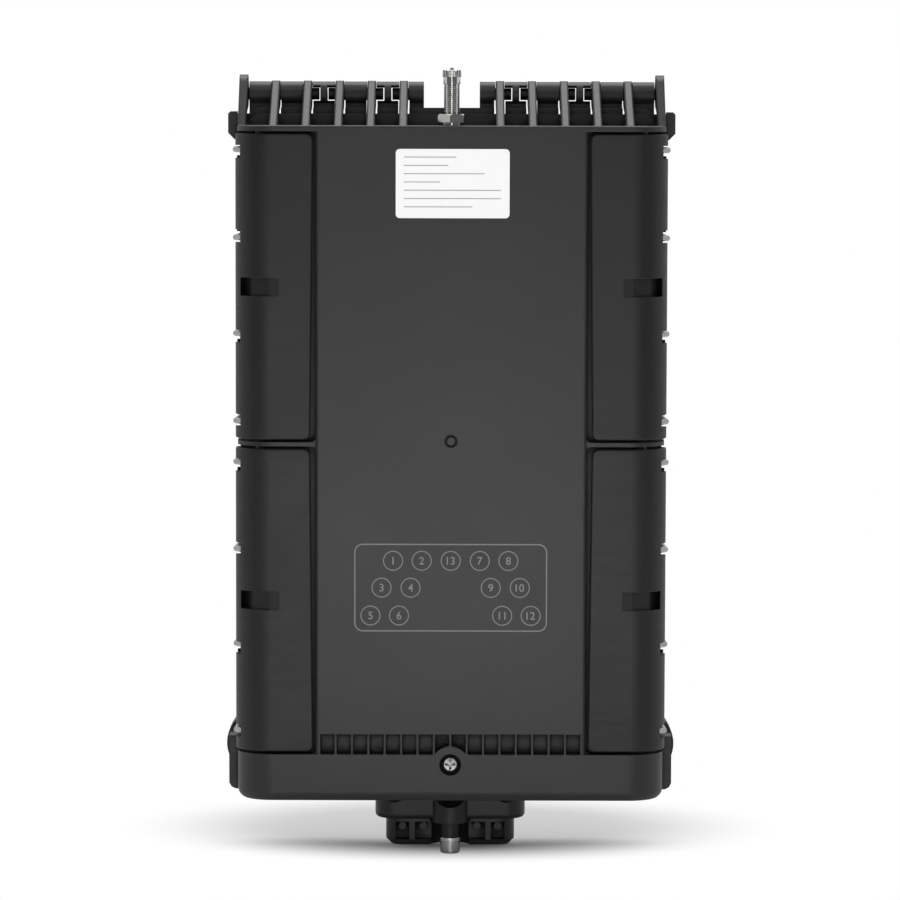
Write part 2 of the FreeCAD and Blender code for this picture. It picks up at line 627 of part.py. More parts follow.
def front_cover():
    cap = hood(HOOD_HALF, FRONT_Y, COVER_BACK_Y, HOOD_CORNER_RADIUS, CAP_BOTTOM_Z, TOP_Z)
    cap = cap.makeFillet(CAP_EDGE_RADIUS, edges_at_z(cap, TOP_Z, COVER_BACK_Y))
    skirt = hood(HOOD_HALF, FRONT_Y, COVER_BACK_Y, HOOD_CORNER_RADIUS, BOTTOM_Z, SKIRT_TOP_Z)
    skirt = skirt.makeFillet(SKIRT_EDGE_RADIUS, edges_at_z(skirt, BOTTOM_Z, COVER_BACK_Y))
    divider = hood(HOOD_HALF, FRONT_Y + DIVIDER_SETBACK, COVER_BACK_Y, HOOD_CORNER_RADIUS,
                   LATCH_MID_Z - DIVIDER_THICKNESS / 2, LATCH_MID_Z + DIVIDER_THICKNESS / 2)
    tub = hood(TUB_HALF, RECESS_Y, COVER_BACK_Y, TUB_CORNER_RADIUS, FLOOR_Z, TOP_Z - CAP_EDGE_RADIUS)
    panel = hood(PANEL_HALF, FRONT_Y, RECESS_Y + WALL, PANEL_EDGE_RADIUS, SKIRT_TOP_Z - CUT,
                 CAP_BOTTOM_Z + CUT)
    flange = frame_prism(FLANGE_HALF, FLOOR_Z - FLANGE_DROP, COVER_FLANGE_Z, FLANGE_CORNER_RADIUS,
                         COVER_BACK_Y - COVER_FLANGE_THICKNESS, COVER_BACK_Y)
    boss = rod_y(SCREW_BOSS_RADIUS, 0, FRONT_Y, FRONT_Y + SCREW_BOSS_LENGTH, SCREW_Z)
    pocket_top = SKIRT_TOP_Z + POCKET_HEIGHT
    chamber = hood(TUB_HALF - WALL, RECESS_Y + WALL, SEAL_Y, TUB_CORNER_RADIUS - WALL,
                   FLOOR_Z + WALL, CAP_BOTTOM_Z)
    panel_hollow = block(-PANEL_HALF + WALL, PANEL_HALF - WALL, FRONT_Y + PANEL_WALL, RECESS_Y + WALL + CUT,
                         pocket_top + POCKET_BACKING, CAP_BOTTOM_Z)
    skirt_hollow = hood(HOOD_HALF - WALL, FRONT_Y + WALL, SEAL_Y, HOOD_CORNER_RADIUS - WALL,
                        BOTTOM_Z - CUT, FLOOR_Z).cut(boss).cut(flange)
    mark = rod_y(GATE_MARK_RADIUS, 0, FRONT_Y - CUT, FRONT_Y + GATE_MARK_DEPTH, GATE_MARK_HEIGHT)
    mark = mark.cut(rod_y(GATE_MARK_RADIUS - GATE_MARK_RING, 0, FRONT_Y - CUT, FRONT_Y + GATE_MARK_DEPTH,
                          GATE_MARK_HEIGHT))
    holes = [
        rod_y(COUNTERBORE_RADIUS, 0, FRONT_Y - CUT, FRONT_Y + COUNTERBORE_DEPTH, SCREW_Z),
        rod_y(SCREW_RADIUS + SCREW_CLEARANCE, 0, FRONT_Y, SEAL_Y, SCREW_Z),
        rod_z(VALVE_STEM_RADIUS, 0, VALVE_Y, CAP_BOTTOM_Z - CUT, TOP_Z + CUT),
        rod_x(HINGE_PIN_RADIUS, -HOOD_HALF - CUT, HOOD_HALF + CUT, HINGE_Y, HINGE_Z),
        mark,
    ]
    for side in (-1, 1):
        for centre in lever_centres():
            holes.append(rod_z(PIVOT_PIN_RADIUS, side * PIVOT_X, PIVOT_Y, centre - LEVER_HEIGHT / 2,
                               centre + LEVER_HEIGHT / 2))
    body = fuse_all([cap, skirt, divider, tub, panel] + recess_fillets())
    body = cut_all(body, [chamber, panel_hollow] + cover_pockets(boss))
    body = body.cut(skirt_hollow)
    ring = flange.cut(chamber)
    body = fuse_all([body, ring, boss] + hinge_ribs() + pivot_lugs() + divider_feet())
    return cut_all(body, holes).removeSplitter()


def lever_section(outer_x, inset, radius):
    """Half a lever's plan outline: flat across the front, then round the corner."""
    front = FRONT_Y + inset
    bend_x = outer_x - radius
    tail_y = LEVER_BEND_Y + LEVER_TAIL
    mid = radius * math.sqrt(0.5)
    a = FreeCAD.Vector(LEVER_INNER_X, front, 0)
    b = FreeCAD.Vector(bend_x, front, 0)
    m = FreeCAD.Vector(bend_x + mid, front + radius - mid, 0)
    c = FreeCAD.Vector(outer_x, front + radius, 0)
    d = FreeCAD.Vector(outer_x, tail_y, 0)
    flat = Part.LineSegment(a, b).toShape()
    bend = Part.Arc(b, m, c).toShape()
    tail = Part.LineSegment(c, d).toShape()
    return [flat, bend, tail], a, d


def lever_plate(z0, z1):
    """The bent plate of a lever; its free edge draws back a little towards the divider."""
    outer, outer_start, outer_end = lever_section(LEVER_OUTER_X, LEVER_INSET, HOOD_CORNER_RADIUS)
    inner, inner_start, inner_end = lever_section(
        LEVER_OUTER_X - LEVER_THICKNESS, LEVER_INSET + LEVER_THICKNESS, HOOD_CORNER_RADIUS - LEVER_THICKNESS)
    tail_end = Part.LineSegment(outer_end, inner_end).toShape()
    free_end = Part.LineSegment(inner_start, outer_start).toShape()
    outline = Part.Wire(Part.__sortEdges__(outer + inner + [tail_end, free_end]))
    plate = Part.Face(outline).extrude(Z_AXIS * (z1 - z0))
    plate.translate(Z_AXIS * z0)
    near, far = (z0, z1) if z0 > LATCH_MID_Z else (z1, z0)
    drawn_x = LEVER_INNER_X + LEVER_TAPER
    wedge = [(LEVER_INNER_X - CUT, far), (LEVER_INNER_X, far), (drawn_x, near), (LEVER_INNER_X - CUT, near)]
    plate = plate.cut(prism_y(wedge, FRONT_Y - CUT, LEVER_BEND_Y))
    corners = [e for e in edges_along(plate, Y_AXIS) if e.BoundBox.XMax < drawn_x + 1e-6]
    plate = plate.makeFillet(LEVER_CORNER_RADIUS, corners)
    face_y = FRONT_Y + LEVER_INSET
    rim = [e for e in plate.Edges if abs(e.BoundBox.YMax - face_y) < 1e-6
           and e.BoundBox.XMin < drawn_x + LEVER_CORNER_RADIUS / 2]
    return plate.makeFillet(LEVER_EDGE_RADIUS, rim)


def lever_ear(z0):
    """An ear on the lever's inner side with eyes for the pivot pin and a bail end."""
    z1 = z0 + EAR_THICKNESS
    eye = PIVOT_EYE_RADIUS
    mid_radius = HOOD_CORNER_RADIUS - LEVER_THICKNESS / 2
    angle = math.radians(EAR_FRONT_ANGLE)
    outline = [
        (BAIL_PIVOT_X - eye, BAIL_PIVOT_Y - eye / 2),
        (LEVER_BEND_X + mid_radius * math.cos(angle), LEVER_BEND_Y - mid_radius * math.sin(angle)),
        (LEVER_OUTER_X - LEVER_THICKNESS / 2, LEVER_BEND_Y),
        (PIVOT_X + eye, PIVOT_Y),
        (PIVOT_X - eye, PIVOT_Y),
    ]
    return prism_z(outline, z0, z1).fuse(rod_z(eye, PIVOT_X, PIVOT_Y, z0, z1))


def pry_cut(centre):
    """The lever's tool slot and the shallow ramp that leads into it."""
    z0 = centre - PRY_SLOT_HEIGHT / 2
    z1 = centre + PRY_SLOT_HEIGHT / 2

    def surface_y(x, sink):
        radius = HOOD_CORNER_RADIUS - sink
        past = max(0.0, x - LEVER_BEND_X)
        return LEVER_BEND_Y - math.sqrt(radius ** 2 - past ** 2)

    outline = [
        (PRY_RAMP_INNER_X, FRONT_Y - CUT),
        (PRY_RAMP_INNER_X, surface_y(PRY_RAMP_INNER_X, 0)),
        (LEVER_BEND_X, surface_y(LEVER_BEND_X, PRY_RAMP_DEPTH / 2)),
        (PRY_SLOT_INNER_X, surface_y(PRY_SLOT_INNER_X, PRY_RAMP_DEPTH)),
        (PRY_SLOT_INNER_X, LEVER_BEND_Y),
        (PRY_SLOT_OUTER_X, LEVER_BEND_Y),
        (PRY_SLOT_OUTER_X, FRONT_Y - CUT),
    ]
    return prism_z(outline, z0, z1)


def lever(centre):
    z0 = centre - LEVER_HEIGHT / 2
    z1 = centre + LEVER_HEIGHT / 2
    body = fuse_all([lever_plate(z0, z1)] + [lever_ear(centre + offset) for offset in ear_offsets()])
    notch_x = LEVER_OUTER_X - LEVER_THICKNESS - NOTCH_DEPTH
    left = HOOD_CORNER_RADIUS - NOTCH_DEPTH
    notch_y = LEVER_BEND_Y - math.sqrt(HOOD_CORNER_RADIUS ** 2 - left ** 2)
    cuts = [pry_cut(centre)]
    for offset in (BAIL_OFFSET, -BAIL_OFFSET):
        for leg in (-BAIL_WIDTH / 2, BAIL_WIDTH / 2):
            low = centre + offset + leg - NOTCH_HEIGHT / 2 - math.copysign(NOTCH_SHIFT, leg)
            cuts.append(block(notch_x, LEVER_OUTER_X + CUT, notch_y, PIVOT_Y, low, low + NOTCH_HEIGHT))
    cuts.append(rod_z(PIVOT_PIN_RADIUS + PIVOT_FIT, PIVOT_X, PIVOT_Y, z0, z1))
    cuts.append(rod_z(WIRE_RADIUS + BAIL_FIT, BAIL_PIVOT_X, BAIL_PIVOT_Y, z0, z1))
    return cut_all(body, cuts).removeSplitter()


def wire(points):
    """A round wire along a chain of straight runs with mitred joints."""
    path = Part.makePolygon([FreeCAD.Vector(*p) for p in points])
    start = FreeCAD.Vector(*points[0])
    along = FreeCAD.Vector(*points[1]) - start
    ring = Part.Wire(Part.Circle(start, along, WIRE_RADIUS).toShape())
    return path.makePipeShell([ring], True, False, 1)


def rounded_corner(before, corner, after):
    """Two points that cut a square corner back to a bend of one mitred run."""
    corner = FreeCAD.Vector(*corner)
    setback = BAIL_BEND * math.tan(math.pi / 8)
    points = []
    for other in (before, after):
        away = (FreeCAD.Vector(*other) - corner).normalize()
        points.append(tuple(corner + away * setback))
    return points


def bail(centre):
    """A wire loop: two ends turned into the lever's ears, two bent legs and a bar behind the catch."""
    half = BAIL_WIDTH / 2
    end = half - WIRE_RADIUS - EAR_LEG_GAP - EAR_THICKNESS
    points = []
    for side in (-1, 1):
        leg = centre + side * half
        tip = (BAIL_PIVOT_X, BAIL_PIVOT_Y, centre + side * end)
        foot = (BAIL_PIVOT_X, BAIL_PIVOT_Y, leg)
        knee = (BAIL_KNEE_X, BAIL_KNEE_Y, leg)
        turn = (BAIL_BAR_X, BAIL_BAR_Y, leg)
        middle = (BAIL_BAR_X, BAIL_BAR_Y, centre)
        run = [tip] + rounded_corner(tip, foot, knee) + [knee] + rounded_corner(knee, turn, middle)
        points += run if side < 0 else run[::-1]
    return wire(points)


def pivot_pin(centre):
    """A pin from the outer ear at one end of a lever to the outer ear at the other."""
    reach = max(ear_offsets()) + EAR_THICKNESS
    return rod_z(PIVOT_PIN_RADIUS, PIVOT_X, PIVOT_Y, centre - reach, centre + reach)


def catch(centre):
    """A hook on the shell's side, with a ramp in front and a seat for the bail's bar behind."""
    tip_x = BAIL_BAR_X - WIRE_RADIUS - CATCH_GAP
    tip_y = BAIL_BAR_Y - WIRE_RADIUS - CATCH_GAP
    root_x = SHELL_HALF - WALL / 2
    seat_x = tip_x - CATCH_SEAT_DEPTH
    outline = [
        (root_x, tip_y - CATCH_RAMP),
        (tip_x, tip_y - CATCH_SEAT_DEPTH),
        (tip_x, tip_y),
        (seat_x, tip_y + CATCH_GAP),
        (seat_x, tip_y + CATCH_SEAT_LENGTH),
        (root_x, tip_y + CATCH_SEAT_LENGTH + CATCH_SEAT_DEPTH),
    ]
    return prism_z(outline, centre - CATCH_LENGTH / 2, centre + CATCH_LENGTH / 2)


def bail_centres():
    return [centre + offset for centre in lever_centres() for offset in (BAIL_OFFSET, -BAIL_OFFSET)]


def segment_spans():
    """The shell's barrel segments on one side, from the inner end outwards."""
    clear = RIB_THICKNESS / 2 + RIB_SIDE_GAP
    spans = [(BARREL_INNER_X, RIB_XS[0] - clear)]
    for a, b in zip(RIB_XS[:-1], RIB_XS[1:]):
        spans.append((a + clear, b - clear))
    return spans


def barrel_shoulder(x0, x1):
    """Upper part of a barrel, which runs nearly up to the ribs beside it."""
    low = HINGE_Z - BARREL_SHOULDER_DROP
    keep = block(x0, x1, HINGE_Y - BARREL_RADIUS, HINGE_Y + BARREL_RADIUS, low, HINGE_Z + BARREL_RADIUS)
    return rod_x(BARREL_RADIUS, x0, x1, HINGE_Y, HINGE_Z).common(keep)


def barrel_window(x0, x1):
    """An opening round a pin: it shows the pin from the front and a slit of daylight below it."""
    low = HINGE_Z - HINGE_PIN_RADIUS - WINDOW_BELOW_PIN
    high = HINGE_Z + HINGE_PIN_RADIUS + WINDOW_ABOVE_PIN
    reach = BARREL_WEB_BACK + CUT
    through = block(x0, x1, HINGE_Y - reach, HINGE_Y + reach, low, high)
    front = block(x0, x1, HINGE_Y - reach, HINGE_Y, low, HINGE_Z + HINGE_PIN_RADIUS + WINDOW_FRONT_RISE)
    return through.fuse(front)


def barrel_segments():
    """Barrel segments on webs, some with windows that leave a bridge in the middle."""
    segments = []
    extra = RIB_SIDE_GAP - BARREL_SIDE_GAP
    last = len(segment_spans()) - 1
    for i, (x0, x1) in enumerate(segment_spans()):
        barrel = rod_x(BARREL_RADIUS, x0, x1, HINGE_Y, HINGE_Z)
        web = block(x0, x1, HINGE_Y - BARREL_WEB_FRONT, HINGE_Y + BARREL_WEB_BACK,
                    TOP_Z - WALL / 2, HINGE_Z)
        shoulder = barrel_shoulder(x0 if i == 0 else x0 - extra, x1 if i == last else x1 + extra)
        segment = fuse_all([barrel, web, shoulder])
        if i in WINDOWED_SEGMENTS:
            middle = (x0 + x1) / 2
            for a, b in ((x0 - CUT, middle - WINDOW_BRIDGE / 2), (middle + WINDOW_BRIDGE / 2, x1 + CUT)):
                segment = segment.cut(barrel_window(a, b))
        else:
            inner = x0 + HINGE_PIN_END_WALL if i == 0 else x0 - CUT
            bore = rod_x(HINGE_PIN_RADIUS + HINGE_RUNNING_FIT, inner, x1 + CUT, HINGE_Y, HINGE_Z)
            segment = segment.cut(bore)
        segments.append(segment)
    return on_both_sides(segments)


def hinge_pin_spans():
    """The pins on one side: each ends just short of a window's bridge."""
    spans = segment_spans()
    start = spans[0][0] + HINGE_PIN_END_WALL + WINDOW_PIN_GAP
    runs = []
    for i in WINDOWED_SEGMENTS:
        middle = (spans[i][0] + spans[i][1]) / 2
        runs.append((start, middle - WINDOW_BRIDGE / 2 - WINDOW_PIN_GAP))
        start = middle + WINDOW_BRIDGE / 2 + WINDOW_PIN_GAP
    runs.append((start, RIB_XS[-1] + RIB_THICKNESS / 2))
    return runs


def corner_bumpers():
    """Corners of the shell's flange that stand out past the latches."""
    half = BUMPER_HALF
    root = SHELL_HALF - WALL / 2
    low = TOP_Z - BUMPER_TOP_DROP
    foot = BOTTOM_Z + BUMPER_BOTTOM_GAP
    high = BOTTOM_Z + BUMPER_BOTTOM_RISE
    chamfer = BUMPER_CHAMFER
    top = COVER_FLANGE_Z + BUMPER_TOP_STEP
    rib_side = RIB_XS[-1] + RIB_THICKNESS / 2 + RIB_SIDE_GAP
    upper = [(root, low), (half - chamfer, low), (half, low + chamfer), (half, top - BUMPER_TOP_BREAK),
             (half - BUMPER_TOP_BREAK, top), (rib_side, top), (rib_side, COVER_FLANGE_Z),
             (root, COVER_FLANGE_Z)]
    lower = [(root, foot), (half - chamfer, foot), (half - BUMPER_FOOT_BREAK, foot + BUMPER_FOOT_BREAK),
             (half, foot + chamfer), (half, high), (root, high)]
    return on_both_sides([prism_y(upper, SEAL_Y, SEAL_Y + SHELL_FLANGE_THICKNESS),
                          prism_y(lower, SEAL_Y, SEAL_Y + BUMPER_DEPTH)])


def strap_eyes():
    """Thin hoops low on the shell's sides for a pole strap."""
    z = BOTTOM_Z + STRAP_EYE_HEIGHT
    y1 = INNER_REAR_Y
    y0 = y1 - STRAP_EYE_LENGTH
    x1 = STRAP_EYE_X + STRAP_EYE_RADIUS
    hoop = rod_y(STRAP_EYE_RADIUS, STRAP_EYE_X, y0, y1, z)
    hoop = hoop.cut(rod_y(STRAP_EYE_RADIUS - STRAP_EYE_WALL, STRAP_EYE_X, y0 - CUT, y1 + CUT, z))
    beside_tub = block(SHELL_HALF - WALL / 2, x1, y0, y1, FLOOR_Z + WALL / 2, TOP_Z)
    beside_skirt = block(SHELL_SKIRT_HALF - WALL / 2, x1, y0, y1, BOTTOM_Z, FLOOR_Z + WALL)
    return on_both_sides([hoop.common(beside_tub.fuse(beside_skirt))])


def boss_places():
    return [(sx * BOSS_SPACING_X / 2, sz * BOSS_SPACING_Z / 2) for sx in (-1, 1) for sz in (-1, 1)]


def rear_ribs():
    """Stiffening ribs across the back, joining the mounting bosses."""
    half_t = REAR_RIB_THICKNESS / 2
    y1 = REAR_Y + REAR_RIB_HEIGHT
    x = BOSS_SPACING_X / 2
    z = BOSS_SPACING_Z / 2
    ribs = [block(s * x - half_t, s * x + half_t, REAR_Y - CUT, y1, -z, z) for s in (-1, 1)]
    ribs += [block(-x, x, REAR_Y - CUT, y1, s * z - half_t, s * z + half_t) for s in (-1, 1)]
    return ribs


def gasket_ring(y0, y1):
    """The seal's path round the shell's mouth."""
    outer_half = FLANGE_HALF - GASKET_EDGE
    inner_half = outer_half - GASKET_WIDTH
    low = FLOOR_Z - FLANGE_DROP + GASKET_EDGE
    high = TOP_Z + GASKET_EDGE
    radius = FLANGE_CORNER_RADIUS - GASKET_EDGE
    outer = frame_prism(outer_half, low, high, radius, y0, y1)
    inner = frame_prism(inner_half, low + GASKET_WIDTH, high - GASKET_WIDTH, radius - GASKET_WIDTH,
                        y0 - CUT, y1 + CUT)
    return outer.cut(inner)


def shell_tub():
    """The shell's box with rounded rear edges, before it is hollowed."""
    tub = frame_prism(SHELL_HALF, FLOOR_Z, TOP_Z, SHELL_CORNER_RADIUS, SEAL_Y, REAR_Y)
    rim = [e for e in tub.Edges if abs(e.BoundBox.YMin - REAR_Y) < 1e-6
           and abs(e.BoundBox.YMax - REAR_Y) < 1e-6]
    return tub.makeFillet(SHELL_REAR_RADIUS, rim)


def shell_flange():
    """The flange at the seal, slotted along its top for the cover's hinge ribs."""
    flange = frame_prism(FLANGE_HALF, FLOOR_Z - FLANGE_DROP, SHELL_FLANGE_Z, FLANGE_CORNER_RADIUS,
                         SEAL_Y, SEAL_Y + SHELL_FLANGE_THICKNESS)
    clear = RIB_THICKNESS / 2 + RIB_SIDE_GAP
    slots = []
    for x in RIB_XS:
        slots.append(block(x - clear, x + clear, SEAL_Y - CUT, REAR_Y, COVER_FLANGE_Z, SHELL_FLANGE_Z + CUT))
    return cut_all(flange, on_both_sides(slots))


def shell_skirt():
    """The wall round the ports, open below and towards the cover."""
    skirt = plan_prism(2 * SHELL_SKIRT_HALF, SEAL_Y, REAR_Y, SHELL_REAR_RADIUS, BOTTOM_Z, FLOOR_Z + WALL)
    inner = SHELL_SKIRT_HALF - WALL
    return skirt.cut(block(-inner, inner, SEAL_Y - CUT, INNER_REAR_Y, BOTTOM_Z - CUT, FLOOR_Z))


def shell_holes():
    """Holes for the tray screws, adapters, trunk cables, bushes and cover screw, and the seal's groove."""
    holes = [gasket_ring(SEAL_Y - CUT, SEAL_Y + GASKET_GROOVE_DEPTH)]
    for x, z in boss_places():
        holes.append(rod_y(INSERT_RADIUS, x, -INSERT_LENGTH, CUT, z))
    for x, z in TRAY_SCREW_XZ:
        holes.append(rod_y(TRAY_SCREW_RADIUS + TRAY_SCREW_FIT, x, TRAY_BACK_Y - CUT,
                           TRAY_BACK_Y + TRAY_SCREW_LENGTH, z))
    for x, y in port_places():
        holes.append(rod_z(PORT_BODY_RADIUS + PORT_BODY_CLEARANCE, x, y, FLOOR_Z - CUT, FLOOR_Z + WALL + CUT))
    holes.append(gland_bore(FLOOR_Z - CUT, FLOOR_Z + WALL + CUT))
    holes.append(rod_y(SCREW_RADIUS + SCREW_CATCH_CLEARANCE, 0, SEAL_Y - CUT, SEAL_Y + SCREW_REACH + CUT,
                       SCREW_Z))
    return holes


def rear_shell():
    lug = block(-SCREW_LUG_WIDTH / 2, SCREW_LUG_WIDTH / 2, SEAL_Y, SEAL_Y + SCREW_LUG_DEPTH,
                SCREW_Z - SCREW_LUG_MARGIN - SCREW_RADIUS, FLOOR_Z + CUT)
    cavity = frame_prism(SHELL_HALF - WALL, FLOOR_Z + WALL, TOP_Z - WALL, SHELL_CORNER_RADIUS - WALL,
                         SEAL_Y - CUT, INNER_REAR_Y)
    bosses = [rod_y(BOSS_RADIUS, x, -INSERT_LENGTH - WALL, 0, z) for x, z in boss_places()]
    standoffs = [rod_y(STANDOFF_RADIUS, x, TRAY_BACK_Y, INNER_REAR_Y + WALL / 2, z) for x, z in TRAY_SCREW_XZ]
    catches = on_both_sides([catch(z) for z in bail_centres()])
    body = fuse_all([shell_tub(), shell_flange(), shell_skirt(), lug] + corner_bumpers() + strap_eyes())
    body = body.cut(cavity)
    body = fuse_all([body] + barrel_segments() + catches + bosses + standoffs + rear_ribs())
    return cut_all(body, shell_holes()).removeSplitter()


def mount_inserts():
    """Threaded bushes in the four rear bosses."""
    return Part.makeCompound([rod_y(INSERT_RADIUS, x, -INSERT_LENGTH, 0, z)
                              .cut(rod_y(INSERT_BORE_RADIUS, x, -INSERT_LENGTH - CUT, CUT, z))
                              for x, z in boss_places()])


def cover_screw():
    """Captive screw: pan head in the cover's counterbore, tip in the shell's lug."""
    seat_y = FRONT_Y + COUNTERBORE_DEPTH
    head = rod_y(SCREW_HEAD_RADIUS, 0, seat_y - SCREW_HEAD_HEIGHT, seat_y, SCREW_Z)
    rim = [e for e in head.Edges if abs(e.BoundBox.YMax - seat_y + SCREW_HEAD_HEIGHT) < 1e-6]
    head = head.makeChamfer(SCREW_HEAD_ROUND, rim)
    arm = SCREW_CROSS_LENGTH / 2
    blade = SCREW_CROSS_WIDTH / 2
    face_y = seat_y - SCREW_HEAD_HEIGHT
    sink_y = face_y + SCREW_CROSS_DEPTH
    cross = block(-arm, arm, face_y - CUT, sink_y, SCREW_Z - blade, SCREW_Z + blade)
    cross = cross.fuse(block(-blade, blade, face_y - CUT, sink_y, SCREW_Z - arm, SCREW_Z + arm))
    shank = rod_y(SCREW_RADIUS, 0, seat_y - CUT, SEAL_Y + SCREW_REACH, SCREW_Z)
    return head.cut(cross).fuse(shank)


def valve_body():
    """Pressure valve: a head inside the cover, and a stem up through its top wall."""
    head = rod_z(VALVE_HEAD_RADIUS, 0, VALVE_Y, CAP_BOTTOM_Z - VALVE_HEAD_HEIGHT, CAP_BOTTOM_Z)
    stem = rod_z(VALVE_STEM_RADIUS, 0, VALVE_Y, CAP_BOTTOM_Z - VALVE_TAIL, VALVE_STEM_TOP_Z)
    return head.fuse(stem)


def valve_washer():
    z1 = TOP_Z + VALVE_WASHER_THICKNESS
    ring = rod_z(VALVE_WASHER_RADIUS, 0, VALVE_Y, TOP_Z, z1)
    return ring.cut(rod_z(VALVE_STEM_RADIUS, 0, VALVE_Y, TOP_Z - CUT, z1 + CUT))


def valve_nut():
    z0 = TOP_Z + VALVE_WASHER_THICKNESS
    z1 = z0 + VALVE_NUT_HEIGHT
    corner = VALVE_NUT_ACROSS_FLATS / math.sqrt(3)
    outline = regular_outline(0, VALVE_Y, corner, 6, VALVE_NUT_TURN)
    turned = rod_z(corner, 0, VALVE_Y, z0, z1)
    rim = [e for e in turned.Edges if abs(e.BoundBox.ZMin - z1) < 1e-6]
    turned = turned.makeChamfer(VALVE_NUT_CHAMFER, rim)
    hexagon = prism_z(outline, z0, z1).common(turned)
    return hexagon.cut(rod_z(VALVE_STEM_RADIUS, 0, VALVE_Y, z0 - CUT, z1 + CUT))


def valve_cap():
    """A knurled screw cap with a small tip, over the end of the stem."""
    z1 = VALVE_STEM_TOP_Z + VALVE_CAP_TOP + VALVE_CAP_CLEARANCE
    z0 = z1 - VALVE_CAP_HEIGHT
    z_grip = z0 + VALVE_CAP_SKIRT
    grip = rod_z(VALVE_CAP_RADIUS, 0, VALVE_Y, z_grip, z1)
    rim = [e for e in grip.Edges if abs(e.BoundBox.ZMin - z1) < 1e-6]
    grip = grip.makeChamfer(VALVE_CAP_CHAMFER, rim)
    grooves = []
    for i in range(VALVE_CAP_KNURLS):
        angle = 2 * math.pi * i / VALVE_CAP_KNURLS
        x = VALVE_CAP_RADIUS * math.cos(angle)
        y = VALVE_Y + VALVE_CAP_RADIUS * math.sin(angle)
        notch = block(x - VALVE_CAP_KNURL_RADIUS, x + VALVE_CAP_KNURL_RADIUS, y - VALVE_CAP_KNURL_RADIUS,
                      y + VALVE_CAP_KNURL_RADIUS, z_grip, z1)
        notch.rotate(FreeCAD.Vector(x, y, 0), Z_AXIS, math.degrees(angle) + 45)
        grooves.append(notch)
    grip = cut_all(grip, grooves)
    body = grip.fuse(rod_z(VALVE_CAP_SKIRT_RADIUS, 0, VALVE_Y, z0, z_grip))
    body = body.fuse(rod_z(VALVE_TIP_RADIUS, 0, VALVE_Y, z1 - CUT, z1 + VALVE_TIP_HEIGHT))
    bore = rod_z(VALVE_STEM_RADIUS + VALVE_CAP_CLEARANCE, 0, VALVE_Y, z0 - CUT,
                 VALVE_STEM_TOP_Z + VALVE_CAP_CLEARANCE)
    return body.cut(bore)


def port_places():
    """Port centres: a row across the front, then rows beside the gland, as far as the side walls allow."""
    places = []
    for row in range(PORT_ROWS):
        first = PORT_PITCH if row == 0 else GLAND_WIDTH / 2 + PORT_GLAND_OFFSETS[row - 1]
        count = 1 + int((PORT_LIMIT_X - first) / PORT_PITCH)
        right = [first + PORT_PITCH * i for i in range(count)]
        middle = [0.0] if row == 0 else []
        y = PORT_FIRST_ROW_Y + row * PORT_ROW_PITCH
        places += [(x, y) for x in [-x for x in reversed(right)] + middle + right]
    return places


def port_adapters():
    """Sealed fibre adapters through the shell's floor."""
    half = PORT_SOCKET_WIDTH / 2
    top = FLOOR_Z + WALL
    adapters = []
    for x, y in port_places():
        nose = rod_z(PORT_NOSE_RADIUS, x, y, PORT_FLANGE_Z - PORT_NOSE_LENGTH, FLOOR_Z)
        flange = rod_z(PORT_FLANGE_RADIUS, x, y, PORT_FLANGE_Z, FLOOR_Z)
        neck = rod_z(PORT_BODY_RADIUS, x, y, FLOOR_Z, top)
        socket = block(x - half, x + half, y - half, y + half, top, top + PORT_SOCKET_HEIGHT)
        adapters.append(fuse_all([nose, flange, neck, socket]))
    return Part.makeCompound(adapters)


def port_cap(x, y):
    """A dust cap with flats round it, pushed over an adapter's nose."""
    z1 = PORT_FLANGE_Z - PORT_CAP_SEAT_GAP
    nose_end = PORT_FLANGE_Z - PORT_NOSE_LENGTH - PORT_CAP_FIT
    outline = regular_outline(x, y, PORT_CAP_RADIUS, PORT_CAP_FLAT_COUNT)
    cap = prism_z(outline, nose_end - PORT_CAP_END, z1)
    return cap.cut(rod_z(PORT_NOSE_RADIUS + PORT_CAP_FIT, x, y, nose_end, z1 + CUT))


def gland_bore(z0, z1):
    """The oval way for trunk cables."""
    y0 = GLAND_MID_Y - GLAND_BORE_DEPTH / 2
    return plan_prism(GLAND_BORE_WIDTH, y0, y0 + GLAND_BORE_DEPTH, GLAND_BORE_RADIUS, z0, z1)


def gland_body():
    """Oval neck under the floor, scalloped round the neighbouring ports, with the bolt boss in front."""
    neck = plan_prism(GLAND_WIDTH, GLAND_FRONT_Y, GLAND_REAR_Y, GLAND_CORNER_RADIUS, GLAND_BOTTOM_Z, FLOOR_Z)
    neck = neck.makeFillet(GLAND_EDGE_RADIUS, edges_at_z(neck, GLAND_BOTTOM_Z, 0.0))
    radius = PORT_CAP_RADIUS + GLAND_SCALLOP_GAP
    scallop_z = FLOOR_Z - GLAND_SCALLOP_BOTTOM + radius
    scallops = []
    for x, y in port_places():
        scallops.append(rod_z(radius, x, y, scallop_z, FLOOR_Z + CUT))
        scallops.append(Part.makeSphere(radius, FreeCAD.Vector(x, y, scallop_z)))
    boss_top = BOLT_BOSS_Z + BOLT_BOSS_HEIGHT
    boss = rod_z(BOLT_BOSS_RADIUS, 0, BOLT_Y, BOLT_BOSS_Z, boss_top)
    bolt_hole = rod_z(BOLT_RADIUS + BOLT_CLEARANCE, 0, BOLT_Y, BOLT_BOSS_Z - CUT, boss_top + CUT)
    bore = gland_bore(GLAND_BOTTOM_Z - CUT, FLOOR_Z + CUT)
    return cut_all(neck.fuse(boss), scallops + [bolt_hole, bore]).removeSplitter()


def gland_seal():
    """Rubber block that fills the oval way."""
    return gland_bore(GLAND_BOTTOM_Z, FLOOR_Z - SEAL_TOP_MARGIN)


